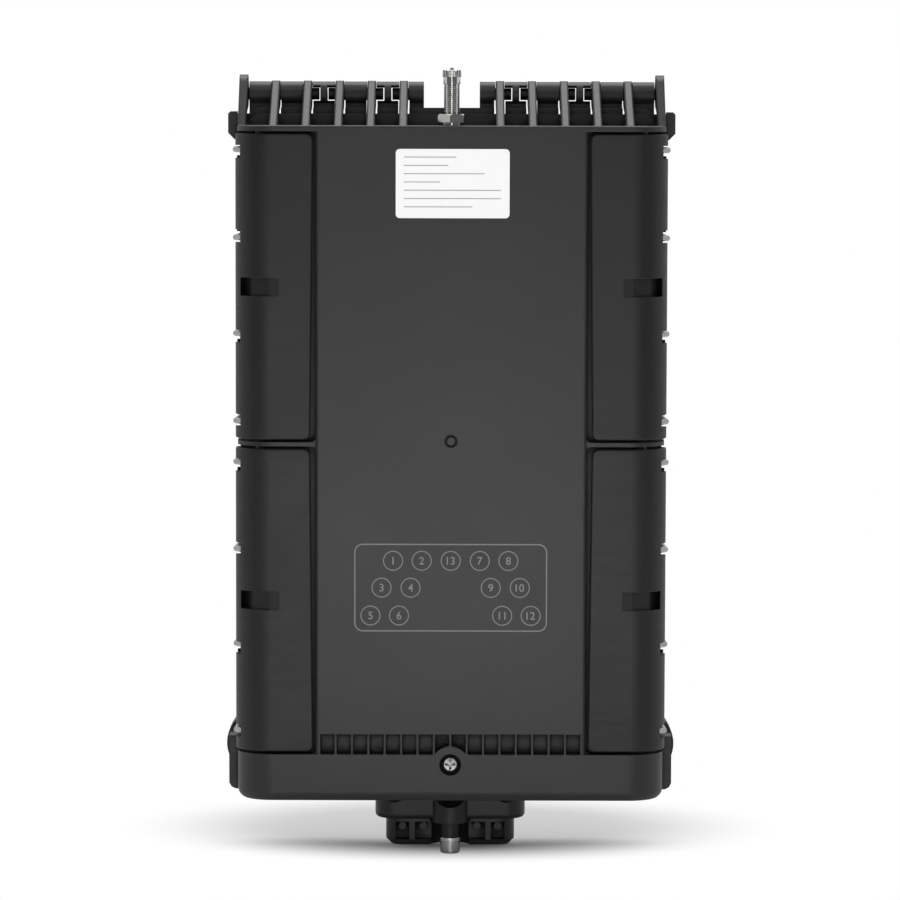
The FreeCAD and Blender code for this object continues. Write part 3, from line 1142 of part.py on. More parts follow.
def clamp_windows():
    """Spans of the clamp's windows on one side, from its end towards the middle."""
    spans = []
    edge = CLAMP_WIDTH / 2 - CLAMP_END_WALL
    for width in CLAMP_WINDOW_WIDTHS:
        spans.append((edge - width, edge))
        edge -= width + CLAMP_WINDOW_RIB
    return spans


def gland_clamp():
    """Frame that presses the seal: windows with pegs in front, a groove for the bolt, two cable holes."""
    z0 = CLAMP_BOTTOM_Z
    z1 = GLAND_BOTTOM_Z
    frame = plan_prism(CLAMP_WIDTH, CLAMP_FRONT_Y, CLAMP_REAR_Y, CLAMP_CORNER_RADIUS, z0, z1)
    frame = frame.makeChamfer(CLAMP_CHAMFER, [e for e in frame.Edges if abs(e.BoundBox.ZMax - z0) < 1e-6])
    top = z1 - CLAMP_TOP_WALL
    back_y = CLAMP_FRONT_Y + CLAMP_WINDOW_DEPTH
    cuts = []
    for a, b in clamp_windows():
        window = block(a, b, CLAMP_FRONT_Y - CUT, back_y, top - CLAMP_WINDOW_HEIGHT, top)
        peg = rod_y(CLAMP_PEG_RADIUS, (a + b) / 2, back_y - CLAMP_PEG_LENGTH, back_y, top - CLAMP_PEG_DROP)
        cuts += on_both_sides([window.cut(peg)])
    cuts += on_both_sides([rod_z(TRUNK_HOLE_RADIUS, TRUNK_HOLE_X, GLAND_MID_Y, z0 - CUT, z1 + CUT)])
    cuts.append(rod_z(BOLT_BOSS_RADIUS + CLAMP_BOLT_GAP, 0, BOLT_Y, z0 - CUT, z1 + CUT))
    return cut_all(frame, cuts).removeSplitter()


def trunk_plugs():
    """Rubber plugs in the unused trunk cable holes."""
    plug = rod_z(TRUNK_HOLE_RADIUS - TRUNK_PLUG_CLEARANCE, TRUNK_HOLE_X, GLAND_MID_Y,
                 CLAMP_BOTTOM_Z + TRUNK_PLUG_HEAD, GLAND_BOTTOM_Z)
    return Part.makeCompound(on_both_sides([plug]))


def clamp_bolt():
    """The gland's bolt: a round head below, its shank up into the boss."""
    end_z = BOLT_SEAT_Z - BOLT_HEAD_HEIGHT
    head = rod_z(BOLT_HEAD_RADIUS, 0, BOLT_Y, end_z, BOLT_SEAT_Z)
    head = head.makeFillet(BOLT_HEAD_ROUND, [e for e in head.Edges if abs(e.BoundBox.ZMax - end_z) < 1e-6])
    return head.fuse(rod_z(BOLT_RADIUS, 0, BOLT_Y, BOLT_SEAT_Z - CUT, BOLT_SEAT_Z + BOLT_GRIP))


def bolt_ring(radius, z0, z1):
    """A ring round the gland's bolt."""
    ring = rod_z(radius, 0, BOLT_Y, z0, z1)
    return ring.cut(rod_z(BOLT_RADIUS + BOLT_CLEARANCE, 0, BOLT_Y, z0 - CUT, z1 + CUT))


def spring_washer():
    """A split ring between the flat washer and the bolt's head."""
    ring = bolt_ring(SPRING_WASHER_RADIUS, BOLT_SEAT_Z, SPRING_WASHER_Z)
    half = SPRING_WASHER_SPLIT / 2
    return ring.cut(block(-half, half, BOLT_Y, BOLT_Y + SPRING_WASHER_RADIUS + CUT,
                          BOLT_SEAT_Z - CUT, SPRING_WASHER_Z + CUT))


def tray_outline(inset, y0, y1):
    return frame_prism(TRAY_HALF - inset, TRAY_BOTTOM_Z + inset, TRAY_TOP_Z - inset,
                       TRAY_CORNER_RADIUS - inset, y0, y1)


def splice_tray():
    """Open tray with two winding rings and a comb for splice sleeves."""
    tray = tray_outline(0, TRAY_FRONT_Y, TRAY_BACK_Y)
    tray = tray.cut(tray_outline(TRAY_WALL, TRAY_FRONT_Y - CUT, TRAY_FLOOR_Y))
    adds = []
    for side in (-1, 1):
        z = TRAY_CENTRE_Z + side * TRAY_HUB_OFFSET
        ring = rod_y(TRAY_HUB_RADIUS, 0, TRAY_FLOOR_Y - TRAY_HUB_HEIGHT, TRAY_FLOOR_Y, z)
        ring = ring.cut(rod_y(TRAY_HUB_RADIUS - TRAY_WALL, 0, TRAY_FRONT_Y - CUT, TRAY_FLOOR_Y, z))
        adds.append(ring)
    half_w = SPLICE_BLOCK_WIDTH / 2
    half_h = SPLICE_BLOCK_HEIGHT / 2
    face = TRAY_FLOOR_Y - SPLICE_BLOCK_THICKNESS
    comb = block(-half_w, half_w, face, TRAY_FLOOR_Y, TRAY_CENTRE_Z - half_h, TRAY_CENTRE_Z + half_h)
    slots = []
    for i in range(SPLICE_SLOTS):
        z = TRAY_CENTRE_Z + (i - (SPLICE_SLOTS - 1) / 2) * SPLICE_BLOCK_HEIGHT / SPLICE_SLOTS
        slots.append(block(-half_w - CUT, half_w + CUT, face - CUT, face + SPLICE_SLOT_DEPTH,
                           z - SPLICE_SLOT_WIDTH / 2, z + SPLICE_SLOT_WIDTH / 2))
    adds.append(cut_all(comb, slots))
    holes = [rod_y(TRAY_SCREW_RADIUS + TRAY_SCREW_FIT, x, TRAY_FRONT_Y, TRAY_BACK_Y + CUT, z)
             for x, z in TRAY_SCREW_XZ]
    return cut_all(fuse_all([tray] + adds), holes).removeSplitter()


def splitter():
    """Fibre splitter module lying against the tray's right wall."""
    x1 = TRAY_HALF - TRAY_WALL - SPLITTER_EDGE_GAP
    return block(x1 - SPLITTER_WIDTH, x1, TRAY_FLOOR_Y - SPLITTER_THICKNESS, TRAY_FLOOR_Y,
                 TRAY_CENTRE_Z - SPLITTER_HEIGHT / 2, TRAY_CENTRE_Z + SPLITTER_HEIGHT / 2)


def tray_lid():
    return tray_outline(0, TRAY_FRONT_Y - TRAY_LID_THICKNESS, TRAY_FRONT_Y)


def tray_screws():
    screws = []
    for x, z in TRAY_SCREW_XZ:
        head = rod_y(TRAY_SCREW_HEAD_RADIUS, x, TRAY_FLOOR_Y - TRAY_SCREW_HEAD_HEIGHT, TRAY_FLOOR_Y, z)
        shank = rod_y(TRAY_SCREW_RADIUS, x, TRAY_FLOOR_Y - CUT, TRAY_BACK_Y + TRAY_SCREW_LENGTH, z)
        screws.append(head.fuse(shank))
    return Part.makeCompound(screws)


def save_hinge_pins():
    names = ("inner", "middle", "outer")
    for name, (x0, x1) in zip(names, hinge_pin_spans()):
        pin = rod_x(HINGE_PIN_RADIUS, x0, x1, HINGE_Y, HINGE_Z)
        save(f"hinge_pin_{name}_right", pin)
        save(f"hinge_pin_{name}_left", mirrored(pin))


def save_latches():
    """The four levers with their pivot pins and two bails each."""
    for level, centre in zip(("upper", "lower"), lever_centres()):
        pieces = {f"latch_lever_{level}": lever(centre), f"pivot_pin_{level}": pivot_pin(centre)}
        for place, offset in (("top", BAIL_OFFSET), ("bottom", -BAIL_OFFSET)):
            pieces[f"wire_bail_{level}_{place}"] = bail(centre + offset)
        for name, shape in pieces.items():
            save(f"{name}_right", shape)
            save(f"{name}_left", mirrored(shape))


def save_port_caps():
    for i, (x, y) in enumerate(port_places()):
        save(f"port_cap_{i + 1:02d}", port_cap(x, y))


def main():
    os.makedirs("parts", exist_ok=True)
    save("rear_shell", rear_shell())
    save("front_cover", front_cover())
    save("shell_gasket", gasket_ring(COVER_BACK_Y, SEAL_Y + GASKET_GROOVE_DEPTH))
    save("mount_inserts", mount_inserts())
    save("cover_screw", cover_screw())
    save("valve_body", valve_body())
    save("valve_washer", valve_washer())
    save("valve_nut", valve_nut())
    save("valve_cap", valve_cap())
    save("port_adapters", port_adapters())
    save("gland_body", gland_body())
    save("gland_seal", gland_seal())
    save("gland_clamp", gland_clamp())
    save("trunk_plugs", trunk_plugs())
    save("clamp_bolt", clamp_bolt())
    save("bolt_sleeve", bolt_ring(BOLT_SLEEVE_RADIUS, BOLT_WASHER_Z, BOLT_BOSS_Z))
    save("bolt_washer", bolt_ring(BOLT_WASHER_RADIUS, SPRING_WASHER_Z, BOLT_WASHER_Z))
    save("spring_washer", spring_washer())
    save("splice_tray", splice_tray())
    save("tray_lid", tray_lid())
    save("splitter", splitter())
    save("tray_screws", tray_screws())
    save_hinge_pins()
    save_latches()
    save_port_caps()


main()
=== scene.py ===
"""Dresses the packed fibre distribution box: finishes, slot floors, valve thread, panel marks, studio."""
import logging
import math
from dataclasses import dataclass
from enum import Enum

import bmesh
import bpy
from mathutils import Matrix, Quaternion, Vector


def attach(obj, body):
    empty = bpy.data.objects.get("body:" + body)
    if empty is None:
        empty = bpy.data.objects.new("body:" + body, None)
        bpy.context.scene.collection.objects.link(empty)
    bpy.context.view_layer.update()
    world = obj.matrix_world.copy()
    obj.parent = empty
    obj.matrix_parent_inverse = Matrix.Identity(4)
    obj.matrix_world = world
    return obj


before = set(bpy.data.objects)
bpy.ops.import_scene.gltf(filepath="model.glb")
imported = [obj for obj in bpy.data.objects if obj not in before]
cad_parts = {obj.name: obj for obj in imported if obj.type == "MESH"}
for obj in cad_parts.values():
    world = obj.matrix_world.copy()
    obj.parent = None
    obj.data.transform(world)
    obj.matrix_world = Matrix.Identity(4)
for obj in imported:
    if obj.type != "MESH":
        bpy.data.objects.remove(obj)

Colour = tuple[float, float, float]
Point = tuple[float, float, float]
Node = bpy.types.Node
Socket = bpy.types.NodeSocket

LOG = logging.getLogger("distribution_box")
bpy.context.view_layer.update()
MM = 0.001
FULL_TURN = 2.0 * math.pi
QUARTER_TURN = math.pi / 2
ORIGIN = (0.0, 0.0, 0.0)
UP = (0.0, 0.0, 1.0)
TO_FRONT = (0.0, -1.0, 0.0)
TINY = 1e-7
NEARLY_ALONG = 0.99
SHARP_DEG = 35.0
ROUND_PROFILE = 0.5
KEEP_MATERIAL = -1
PANEL_Y = -110.0 * MM
COVER_BODY = "cover"


class Side(Enum):
    """Left or right of the box, seen from the front."""

    LEFT = "left"
    RIGHT = "right"


class Level(Enum):
    """Upper or lower pair of latch levers."""

    UPPER = "upper"
    LOWER = "lower"


class Place(Enum):
    """Upper or lower wire bail of one lever."""

    TOP = "top"
    BOTTOM = "bottom"


class Slot(Enum):
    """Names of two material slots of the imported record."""

    HOUSING = "black_housing"
    VALVE = "plated_valve"


class Effect(Enum):
    """Shared effects, by the names of their node groups."""

    GRAIN = "moulded_grain"
    EDGE = "rounded_edge"
    SCUFF = "handling_scuff"
    TURNED = "turning_marks"
    CAVITY = "cavity_shade"


def grey(level: float) -> Colour:
    """Linear grey colour."""
    return (level, level, level)


def scaled(colour: Colour, share: float) -> Colour:
    """Colour times a share."""
    return tuple(channel * share for channel in colour)


def opaque(colour: Colour) -> tuple[float, float, float, float]:
    """Colour with full cover, as node sockets want it."""
    return (*colour, 1.0)


class NodeSheet:
    """Places and links the nodes of one node tree."""

    def __init__(self, tree: bpy.types.NodeTree) -> None:
        """Clears the tree and keeps it."""
        self.tree = tree
        tree.nodes.clear()

    def add(self, kind: str, values: dict[str, object] | None = None, **settings: object) -> Node:
        """Adds a node.

        Args:
            kind: Blender's name of the node type.
            values: Values of its named inputs.
            settings: Properties of the node, set before the values.

        Returns:
            The new node.
        """
        node = self.tree.nodes.new(kind)
        for key, value in settings.items():
            setattr(node, key, value)
        for key, value in (values or {}).items():
            node.inputs[key].default_value = value
        return node

    def join(self, source: Socket, target: Socket) -> None:
        """Links an output to an input."""
        self.tree.links.new(source, target)

    def feed(self, source: object, target: Socket) -> None:
        """Links an output to an input, or sets the input's value.

        Args:
            source: Output socket, or a plain value.
            target: Input socket.
        """
        if isinstance(source, Socket):
            self.join(source, target)
        else:
            target.default_value = source

    def effect(self, kind: Effect, values: dict[str, float] | None = None) -> Node:
        """Places a shared effect with its own values."""
        return self.add("ShaderNodeGroup", values, node_tree=bpy.data.node_groups[kind.value])

    def span(self, source: Socket, low: float, high: float) -> Socket:
        """Maps a mask onto a range of values.

        Args:
            source: Mask from 0 to 1.
            low: Value where the mask is 0.
            high: Value where the mask is 1.

        Returns:
            Output socket with the value.
        """
        node = self.add("ShaderNodeMapRange", {"To Min": low, "To Max": high})
        self.join(source, node.inputs["Value"])
        return node.outputs["Result"]

    def blend(self, mask: Socket, low: float | Socket, high: float | Socket) -> Socket:
        """Mixes two values by a mask.

        Args:
            mask: Mask from 0 to 1.
            low: Value or socket where the mask is 0.
            high: Value or socket where the mask is 1.

        Returns:
            Output socket with the value.
        """
        node = self.add("ShaderNodeMix", data_type="FLOAT")
        self.join(mask, node.inputs["Factor"])
        self.feed(low, node.inputs["A"])
        self.feed(high, node.inputs["B"])
        return node.outputs["Result"]

    def tint(self, mask: Socket, low: Colour | Socket, high: Colour) -> Socket:
        """Mixes two colours by a mask.

        Args:
            mask: Mask from 0 to 1.
            low: Linear colour where the mask is 0, or a socket.
            high: Linear colour where the mask is 1.

        Returns:
            Output socket with the colour.
        """
        node = self.add("ShaderNodeMix", data_type="RGBA")
        self.join(mask, node.inputs["Factor"])
        self.feed(low if isinstance(low, Socket) else opaque(low), node.inputs["A"])
        self.feed(opaque(high), node.inputs["B"])
        return node.outputs["Result"]


@dataclass(frozen=True)
class EffectShelf:
    """Makes the shader node groups that several finishes share."""

    grain_scale: float = 2500.0
    grain_detail: float = 2.0
    mottle_scale: float = 30.0
    mottle_detail: float = 3.0
    edge_radius: float = 0.0005
    edge_samples: int = 6
    edge_flat: float = 1.0
    edge_turned: float = 0.8
    patch_scale: float = 18.0
    patch_detail: float = 4.0
    line_scale: float = 60.0
    line_detail: float = 2.0
    line_turn: Point = (0.4, 0.9, 0.3)
    line_stretch: Point = (1.0, 1.0, 9.0)
    scuff_from: float = 0.12
    scuff_to: float = 0.42
    mark_scale: float = 4000.0
    mark_detail: float = 1.0
    mark_stretch: Point = (0.02, 0.02, 1.0)
    cavity_reach: float = 0.005
    cavity_open: float = 0.62
    cavity_deep: float = 0.25
    cavity_samples: int = 8

    def stock(self) -> None:
        """Makes every shared effect once."""
        self.grain()
        self.edge()
        self.scuff()
        self.turned()
        self.cavity()

    def start(self, effect: Effect, inputs: dict[str, float],
              outputs: tuple[str, ...]) -> tuple[NodeSheet, Node, Node]:
        """Opens a new group with named sockets.

        Args:
            effect: The effect that the group makes.
            inputs: Default value of each float input.
            outputs: Names of the outputs; Normal is a vector, the others are floats.

        Returns:
            The sheet, the group's input node and its output node.
        """
        tree = bpy.data.node_groups.new(effect.value, "ShaderNodeTree")
        for key, value in inputs.items():
            socket = tree.interface.new_socket(key, in_out="INPUT", socket_type="NodeSocketFloat")
            socket.default_value = value
        for key in outputs:
            kind = "NodeSocketVector" if key == "Normal" else "NodeSocketFloat"
            tree.interface.new_socket(key, in_out="OUTPUT", socket_type=kind)
        sheet = NodeSheet(tree)
        return sheet, sheet.add("NodeGroupInput"), sheet.add("NodeGroupOutput")

    def grain(self) -> None:
        """Fine moulded grain: a height for bump and a slow change of tone."""
        sheet, given, made = self.start(
            Effect.GRAIN, {"Grain Scale": self.grain_scale, "Mottle Scale": self.mottle_scale},
            ("Height", "Tone"))
        place = sheet.add("ShaderNodeTexCoord")
        fine = sheet.add("ShaderNodeTexNoise", {"Detail": self.grain_detail})
        slow = sheet.add("ShaderNodeTexNoise", {"Detail": self.mottle_detail})
        for noise, scale, result in ((fine, "Grain Scale", "Height"), (slow, "Mottle Scale", "Tone")):
            sheet.join(place.outputs["Object"], noise.inputs["Vector"])
            sheet.join(given.outputs[scale], noise.inputs["Scale"])
            sheet.join(noise.outputs["Fac"], made.inputs[result])

    def edge(self) -> None:
        """Rounded edge: its normal, and a mask that is 1 on edges."""
        sheet, given, made = self.start(Effect.EDGE, {"Radius": self.edge_radius}, ("Normal", "Mask"))
        bevel = sheet.add("ShaderNodeBevel", samples=self.edge_samples)
        sheet.join(given.outputs["Radius"], bevel.inputs["Radius"])
        plain = sheet.add("ShaderNodeNewGeometry")
        match = sheet.add("ShaderNodeVectorMath", operation="DOT_PRODUCT")
        sheet.join(bevel.outputs["Normal"], match.inputs[0])
        sheet.join(plain.outputs["Normal"], match.inputs[1])
        turn = sheet.add("ShaderNodeMapRange", {"From Min": self.edge_flat, "From Max": self.edge_turned})
        sheet.join(match.outputs["Value"], turn.inputs["Value"])
        sheet.join(bevel.outputs["Normal"], made.inputs["Normal"])
        sheet.join(turn.outputs["Result"], made.inputs["Mask"])

    def scuff(self) -> None:
        """Faint handling marks: cloudy patches crossed by thin rubbed lines."""
        sheet, given, made = self.start(
            Effect.SCUFF, {"Patch Scale": self.patch_scale, "Line Scale": self.line_scale}, ("Mask",))
        place = sheet.add("ShaderNodeTexCoord")
        patch = sheet.add("ShaderNodeTexNoise", {"Detail": self.patch_detail})
        stretch = sheet.add("ShaderNodeMapping", {"Rotation": self.line_turn, "Scale": self.line_stretch})
        line = sheet.add("ShaderNodeTexNoise", {"Detail": self.line_detail})
        sheet.join(place.outputs["Object"], patch.inputs["Vector"])
        sheet.join(place.outputs["Object"], stretch.inputs["Vector"])
        sheet.join(stretch.outputs["Vector"], line.inputs["Vector"])
        sheet.join(given.outputs["Patch Scale"], patch.inputs["Scale"])
        sheet.join(given.outputs["Line Scale"], line.inputs["Scale"])
        both = sheet.add("ShaderNodeMath", operation="MULTIPLY")
        sheet.join(patch.outputs["Fac"], both.inputs[0])
        sheet.join(line.outputs["Fac"], both.inputs[1])
        spread = sheet.add("ShaderNodeMapRange", {"From Min": self.scuff_from, "From Max": self.scuff_to})
        sheet.join(both.outputs["Value"], spread.inputs["Value"])
        sheet.join(spread.outputs["Result"], made.inputs["Mask"])

    def turned(self) -> None:
        """Turning marks: fine bands across the height of a turned or drawn part."""
        sheet, given, made = self.start(Effect.TURNED, {"Mark Scale": self.mark_scale}, ("Height",))
        place = sheet.add("ShaderNodeTexCoord")
        stretch = sheet.add("ShaderNodeMapping", {"Scale": self.mark_stretch})
        band = sheet.add("ShaderNodeTexNoise", {"Detail": self.mark_detail})
        sheet.join(place.outputs["Object"], stretch.inputs["Vector"])
        sheet.join(stretch.outputs["Vector"], band.inputs["Vector"])
        sheet.join(given.outputs["Mark Scale"], band.inputs["Scale"])
        sheet.join(band.outputs["Fac"], made.inputs["Height"])

    def cavity(self) -> None:
        """Cavity shade: a mask that is 1 deep in gaps, pockets and recesses."""
        sheet, given, made = self.start(
            Effect.CAVITY,
            {"Reach": self.cavity_reach, "Open": self.cavity_open, "Deep": self.cavity_deep}, ("Mask",))
        closed = sheet.add("ShaderNodeAmbientOcclusion", samples=self.cavity_samples)
        sheet.join(given.outputs["Reach"], closed.inputs["Distance"])
        depth = sheet.add("ShaderNodeMapRange")
        sheet.join(closed.outputs["AO"], depth.inputs["Value"])
        sheet.join(given.outputs["Open"], depth.inputs["From Min"])
        sheet.join(given.outputs["Deep"], depth.inputs["From Max"])
        sheet.join(depth.outputs["Result"], made.inputs["Mask"])


@dataclass(frozen=True)
class Finish:
    """A surface finish that makes its material once."""

    name: str

    def material(self) -> bpy.types.Material:
        """Makes the material on first use.

        Returns:
            The material of this finish.
        """
        known = bpy.data.materials.get(self.name)
        if known is not None:
            return known
        made = bpy.data.materials.new(self.name)
        made.use_nodes = True
        sheet = NodeSheet(made.node_tree)
        shader = sheet.add("ShaderNodeBsdfPrincipled")
        out = sheet.add("ShaderNodeOutputMaterial")
        sheet.join(shader.outputs["BSDF"], out.inputs["Surface"])
        self.wire(sheet, shader)
        return made

    def wire(self, sheet: NodeSheet, shader: Node) -> None:
        """Sets the shader's sockets for this finish."""
        raise NotImplementedError

    def bump(self, sheet: NodeSheet, shader: Node, height: Socket, depth: float,
             normal: Socket | None = None) -> None:
        """Feeds a bump to the shader's normal.

        Args:
            sheet: Sheet of the material.
            shader: Principled shader.
            height: Height from 0 to 1.
            depth: Height of 1, in metres.
            normal: Normal under the bump.
        """
        node = sheet.add("ShaderNodeBump", {"Strength": 1.0, "Distance": depth})
        sheet.join(height, node.inputs["Height"])
        if normal is not None:
            sheet.join(normal, node.inputs["Normal"])
        sheet.join(node.outputs["Normal"], shader.inputs["Normal"])


@dataclass(frozen=True)
class MouldedPlastic(Finish):
    """Moulded plastic with fine grain, soft edges and faint handling marks."""

    colour: Colour
    edge_colour: Colour
    roughness: float
    roughness_spread: float = 0.08
    grain_scale: float = 2200.0
    grain_depth: float = 0.00004
    mottle: float = 0.15
    edge_radius: float = 0.0005
    cavity_reach: float = 0.006
    cavity_tone: float = 0.2
    cavity_roughness: float = 0.9

    def wire(self, sheet: NodeSheet, shader: Node) -> None:
        """Wires tone, edge wear, shaded cavities, roughness and grain.

        Args:
            sheet: Sheet of the material.
            shader: Principled shader.
        """
        cavity = sheet.effect(Effect.CAVITY, {"Reach": self.cavity_reach})
        grain = sheet.effect(Effect.GRAIN, {"Grain Scale": self.grain_scale})
        edge = sheet.effect(Effect.EDGE, {"Radius": self.edge_radius})
        scuff = sheet.effect(Effect.SCUFF)
        dark = scaled(self.colour, 1.0 - self.mottle)
        light = scaled(self.colour, 1.0 + self.mottle)
        tone = sheet.tint(grain.outputs["Tone"], dark, light)
        worn = sheet.tint(edge.outputs["Mask"], tone, self.edge_colour)
        shaded = sheet.tint(cavity.outputs["Mask"], worn, scaled(self.colour, self.cavity_tone))
        sheet.join(shaded, shader.inputs["Base Color"])
        swing = self.roughness_spread / 2
        open_rough = sheet.span(scuff.outputs["Mask"], self.roughness + swing, self.roughness - swing)
        rough = sheet.blend(cavity.outputs["Mask"], open_rough, self.cavity_roughness)
        sheet.join(rough, shader.inputs["Roughness"])
        self.bump(sheet, shader, grain.outputs["Height"], self.grain_depth, edge.outputs["Normal"])


@dataclass(frozen=True)
class PlatedMetal(Finish):
    """Bright metal with turning marks and scuffed roughness."""

    colour: Colour
    dull_colour: Colour
    roughness: float
    roughness_spread: float = 0.14
    mark_scale: float = 5000.0
    mark_depth: float = 0.000004
    patch_scale: float = 140.0
    line_scale: float = 420.0
    edge_radius: float = 0.00015
    cavity_reach: float = 0.0015
    cavity_tone: float = 0.12
    cavity_open: float = 0.85

    def wire(self, sheet: NodeSheet, shader: Node) -> None:
        """Wires colour, shaded recesses, roughness and turning marks.

        Args:
            sheet: Sheet of the material.
            shader: Principled shader.
        """
        shader.inputs["Metallic"].default_value = 1.0
        cavity = sheet.effect(Effect.CAVITY, {"Reach": self.cavity_reach, "Open": self.cavity_open})
        marks = sheet.effect(Effect.TURNED, {"Mark Scale": self.mark_scale})
        scuff = sheet.effect(Effect.SCUFF, {"Patch Scale": self.patch_scale, "Line Scale": self.line_scale})
        edge = sheet.effect(Effect.EDGE, {"Radius": self.edge_radius})
        tone = sheet.tint(scuff.outputs["Mask"], self.colour, self.dull_colour)
        shaded = sheet.tint(cavity.outputs["Mask"], tone, scaled(self.dull_colour, self.cavity_tone))
        sheet.join(shaded, shader.inputs["Base Color"])
        rough = sheet.span(scuff.outputs["Mask"], self.roughness, self.roughness + self.roughness_spread)
        sheet.join(rough, shader.inputs["Roughness"])
        self.bump(sheet, shader, marks.outputs["Height"], self.mark_depth, edge.outputs["Normal"])


@dataclass(frozen=True)
class SoftRubber(Finish):
    """Matt rubber with a dusty bloom."""

    colour: Colour
    bloom_colour: Colour
    roughness_low: float = 0.66
    roughness_high: float = 0.82
    grain_scale: float = 3200.0
    grain_depth: float = 0.00003
    mottle_scale: float = 90.0

    def wire(self, sheet: NodeSheet, shader: Node) -> None:
        """Wires bloom, roughness and grain.

        Args:
            sheet: Sheet of the material.
            shader: Principled shader.
        """
        grain = sheet.effect(
            Effect.GRAIN, {"Grain Scale": self.grain_scale, "Mottle Scale": self.mottle_scale})
        tone = sheet.tint(grain.outputs["Tone"], self.colour, self.bloom_colour)
        sheet.join(tone, shader.inputs["Base Color"])
        rough = sheet.span(grain.outputs["Tone"], self.roughness_low, self.roughness_high)
        sheet.join(rough, shader.inputs["Roughness"])
        self.bump(sheet, shader, grain.outputs["Height"], self.grain_depth)


@dataclass(frozen=True)
class ClearSheet(Finish):
    """Clear polycarbonate sheet with faint smears."""

    colour: Colour
    roughness_low: float = 0.06
    roughness_high: float = 0.16
    patch_scale: float = 30.0
    line_scale: float = 90.0
    ior: float = 1.58

    def wire(self, sheet: NodeSheet, shader: Node) -> None:
        """Wires smears into the roughness of a clear shader.

        Args:
            sheet: Sheet of the material.
            shader: Principled shader.
        """
        shader.inputs["Base Color"].default_value = opaque(self.colour)
        shader.inputs["Transmission Weight"].default_value = 1.0
        shader.inputs["IOR"].default_value = self.ior
        scuff = sheet.effect(Effect.SCUFF, {"Patch Scale": self.patch_scale, "Line Scale": self.line_scale})
        rough = sheet.span(scuff.outputs["Mask"], self.roughness_low, self.roughness_high)
        sheet.join(rough, shader.inputs["Roughness"])


@dataclass(frozen=True)
class LabelPaper(Finish):
    """White film label with a faint fibre and a satin face."""

    colour: Colour
    shade_colour: Colour
    coat: float = 0.15
    roughness_low: float = 0.42
    roughness_high: float = 0.56
    grain_scale: float = 4200.0
    grain_depth: float = 0.00001
    mottle_scale: float = 260.0

    def wire(self, sheet: NodeSheet, shader: Node) -> None:
        """Wires fibre tone, roughness and a paper bump.

        Args:
            sheet: Sheet of the material.
            shader: Principled shader.
        """
        shader.inputs["Coat Weight"].default_value = self.coat
        grain = sheet.effect(
            Effect.GRAIN, {"Grain Scale": self.grain_scale, "Mottle Scale": self.mottle_scale})
        tone = sheet.tint(grain.outputs["Tone"], self.shade_colour, self.colour)
        sheet.join(tone, shader.inputs["Base Color"])
        rough = sheet.span(grain.outputs["Tone"], self.roughness_low, self.roughness_high)
        sheet.join(rough, shader.inputs["Roughness"])
        self.bump(sheet, shader, grain.outputs["Height"], self.grain_depth)


@dataclass(frozen=True)
class PrintedMark(Finish):
    """Matt ink or paint, thinner in places."""

    colour: Colour
    thin_colour: Colour
    roughness_low: float = 0.52
    roughness_high: float = 0.68
    grain_scale: float = 3000.0
    grain_depth: float = 0.000012
    mottle_scale: float = 420.0

    def wire(self, sheet: NodeSheet, shader: Node) -> None:
        """Wires thin patches into colour and roughness.

        Args:
            sheet: Sheet of the material.
            shader: Principled shader.
        """
        grain = sheet.effect(
            Effect.GRAIN, {"Grain Scale": self.grain_scale, "Mottle Scale": self.mottle_scale})
        tone = sheet.tint(grain.outputs["Tone"], self.thin_colour, self.colour)
        sheet.join(tone, shader.inputs["Base Color"])
        rough = sheet.span(grain.outputs["Tone"], self.roughness_low, self.roughness_high)
        sheet.join(rough, shader.inputs["Roughness"])
        self.bump(sheet, shader, grain.outputs["Height"], self.grain_depth)


HOUSING_BLACK = MouldedPlastic(
    "grained_black_housing", grey(0.016), grey(0.024), roughness=0.44, roughness_spread=0.025)
LEVER_BLACK = MouldedPlastic(
    "satin_black_levers", grey(0.006), grey(0.013), roughness=0.48, grain_depth=0.00003)
SLOT_BLACK = MouldedPlastic(
    "satin_black_slot_floors", grey(0.012), grey(0.016), roughness=0.48, cavity_tone=1.0,
    cavity_roughness=0.5)
CAP_BLACK = MouldedPlastic(
    "smooth_black_caps", grey(0.008), grey(0.014), roughness=0.38, grain_depth=0.00002)
ADAPTER_GREY = MouldedPlastic(
    "dark_grey_adapters", (0.03, 0.031, 0.034), grey(0.06), roughness=0.45)
PIN_BLACK = MouldedPlastic(
    "smooth_black_pins", grey(0.006), grey(0.01), roughness=0.32, grain_depth=0.00001,
    edge_radius=0.0003)
TRAY_GREY = MouldedPlastic(
    "light_grey_tray", grey(0.5), grey(0.6), roughness=0.48, mottle=0.04)
SPLITTER_WHITE = MouldedPlastic(
    "off_white_splitter", (0.64, 0.63, 0.6), grey(0.72), roughness=0.35, mottle=0.03)
STEEL_BRIGHT = PlatedMetal(
    "bright_drawn_steel", grey(0.9), grey(0.82), roughness=0.2, roughness_spread=0.08)
SCREW_ZINC = PlatedMetal(
    "zinc_plated_screw", grey(0.46), grey(0.38), roughness=0.36, cavity_tone=0.05)
WIRE_STEEL = PlatedMetal("dull_drawn_wire", grey(0.5), grey(0.4), roughness=0.3)
VALVE_NICKEL = PlatedMetal(
    "nickel_plated_valve", (0.92, 0.915, 0.9), (0.84, 0.835, 0.82), roughness=0.1,
    roughness_spread=0.06)
BRASS_TURNED = PlatedMetal(
    "turned_brass_bushes", (0.72, 0.5, 0.2), (0.55, 0.37, 0.15), roughness=0.28)
RUBBER_BLACK = SoftRubber("black_rubber_seals", grey(0.012), grey(0.022))
LID_CLEAR = ClearSheet("clear_tray_lid", (0.86, 0.89, 0.9))
LABEL_WHITE = LabelPaper("white_label_film", grey(0.96), grey(0.93))
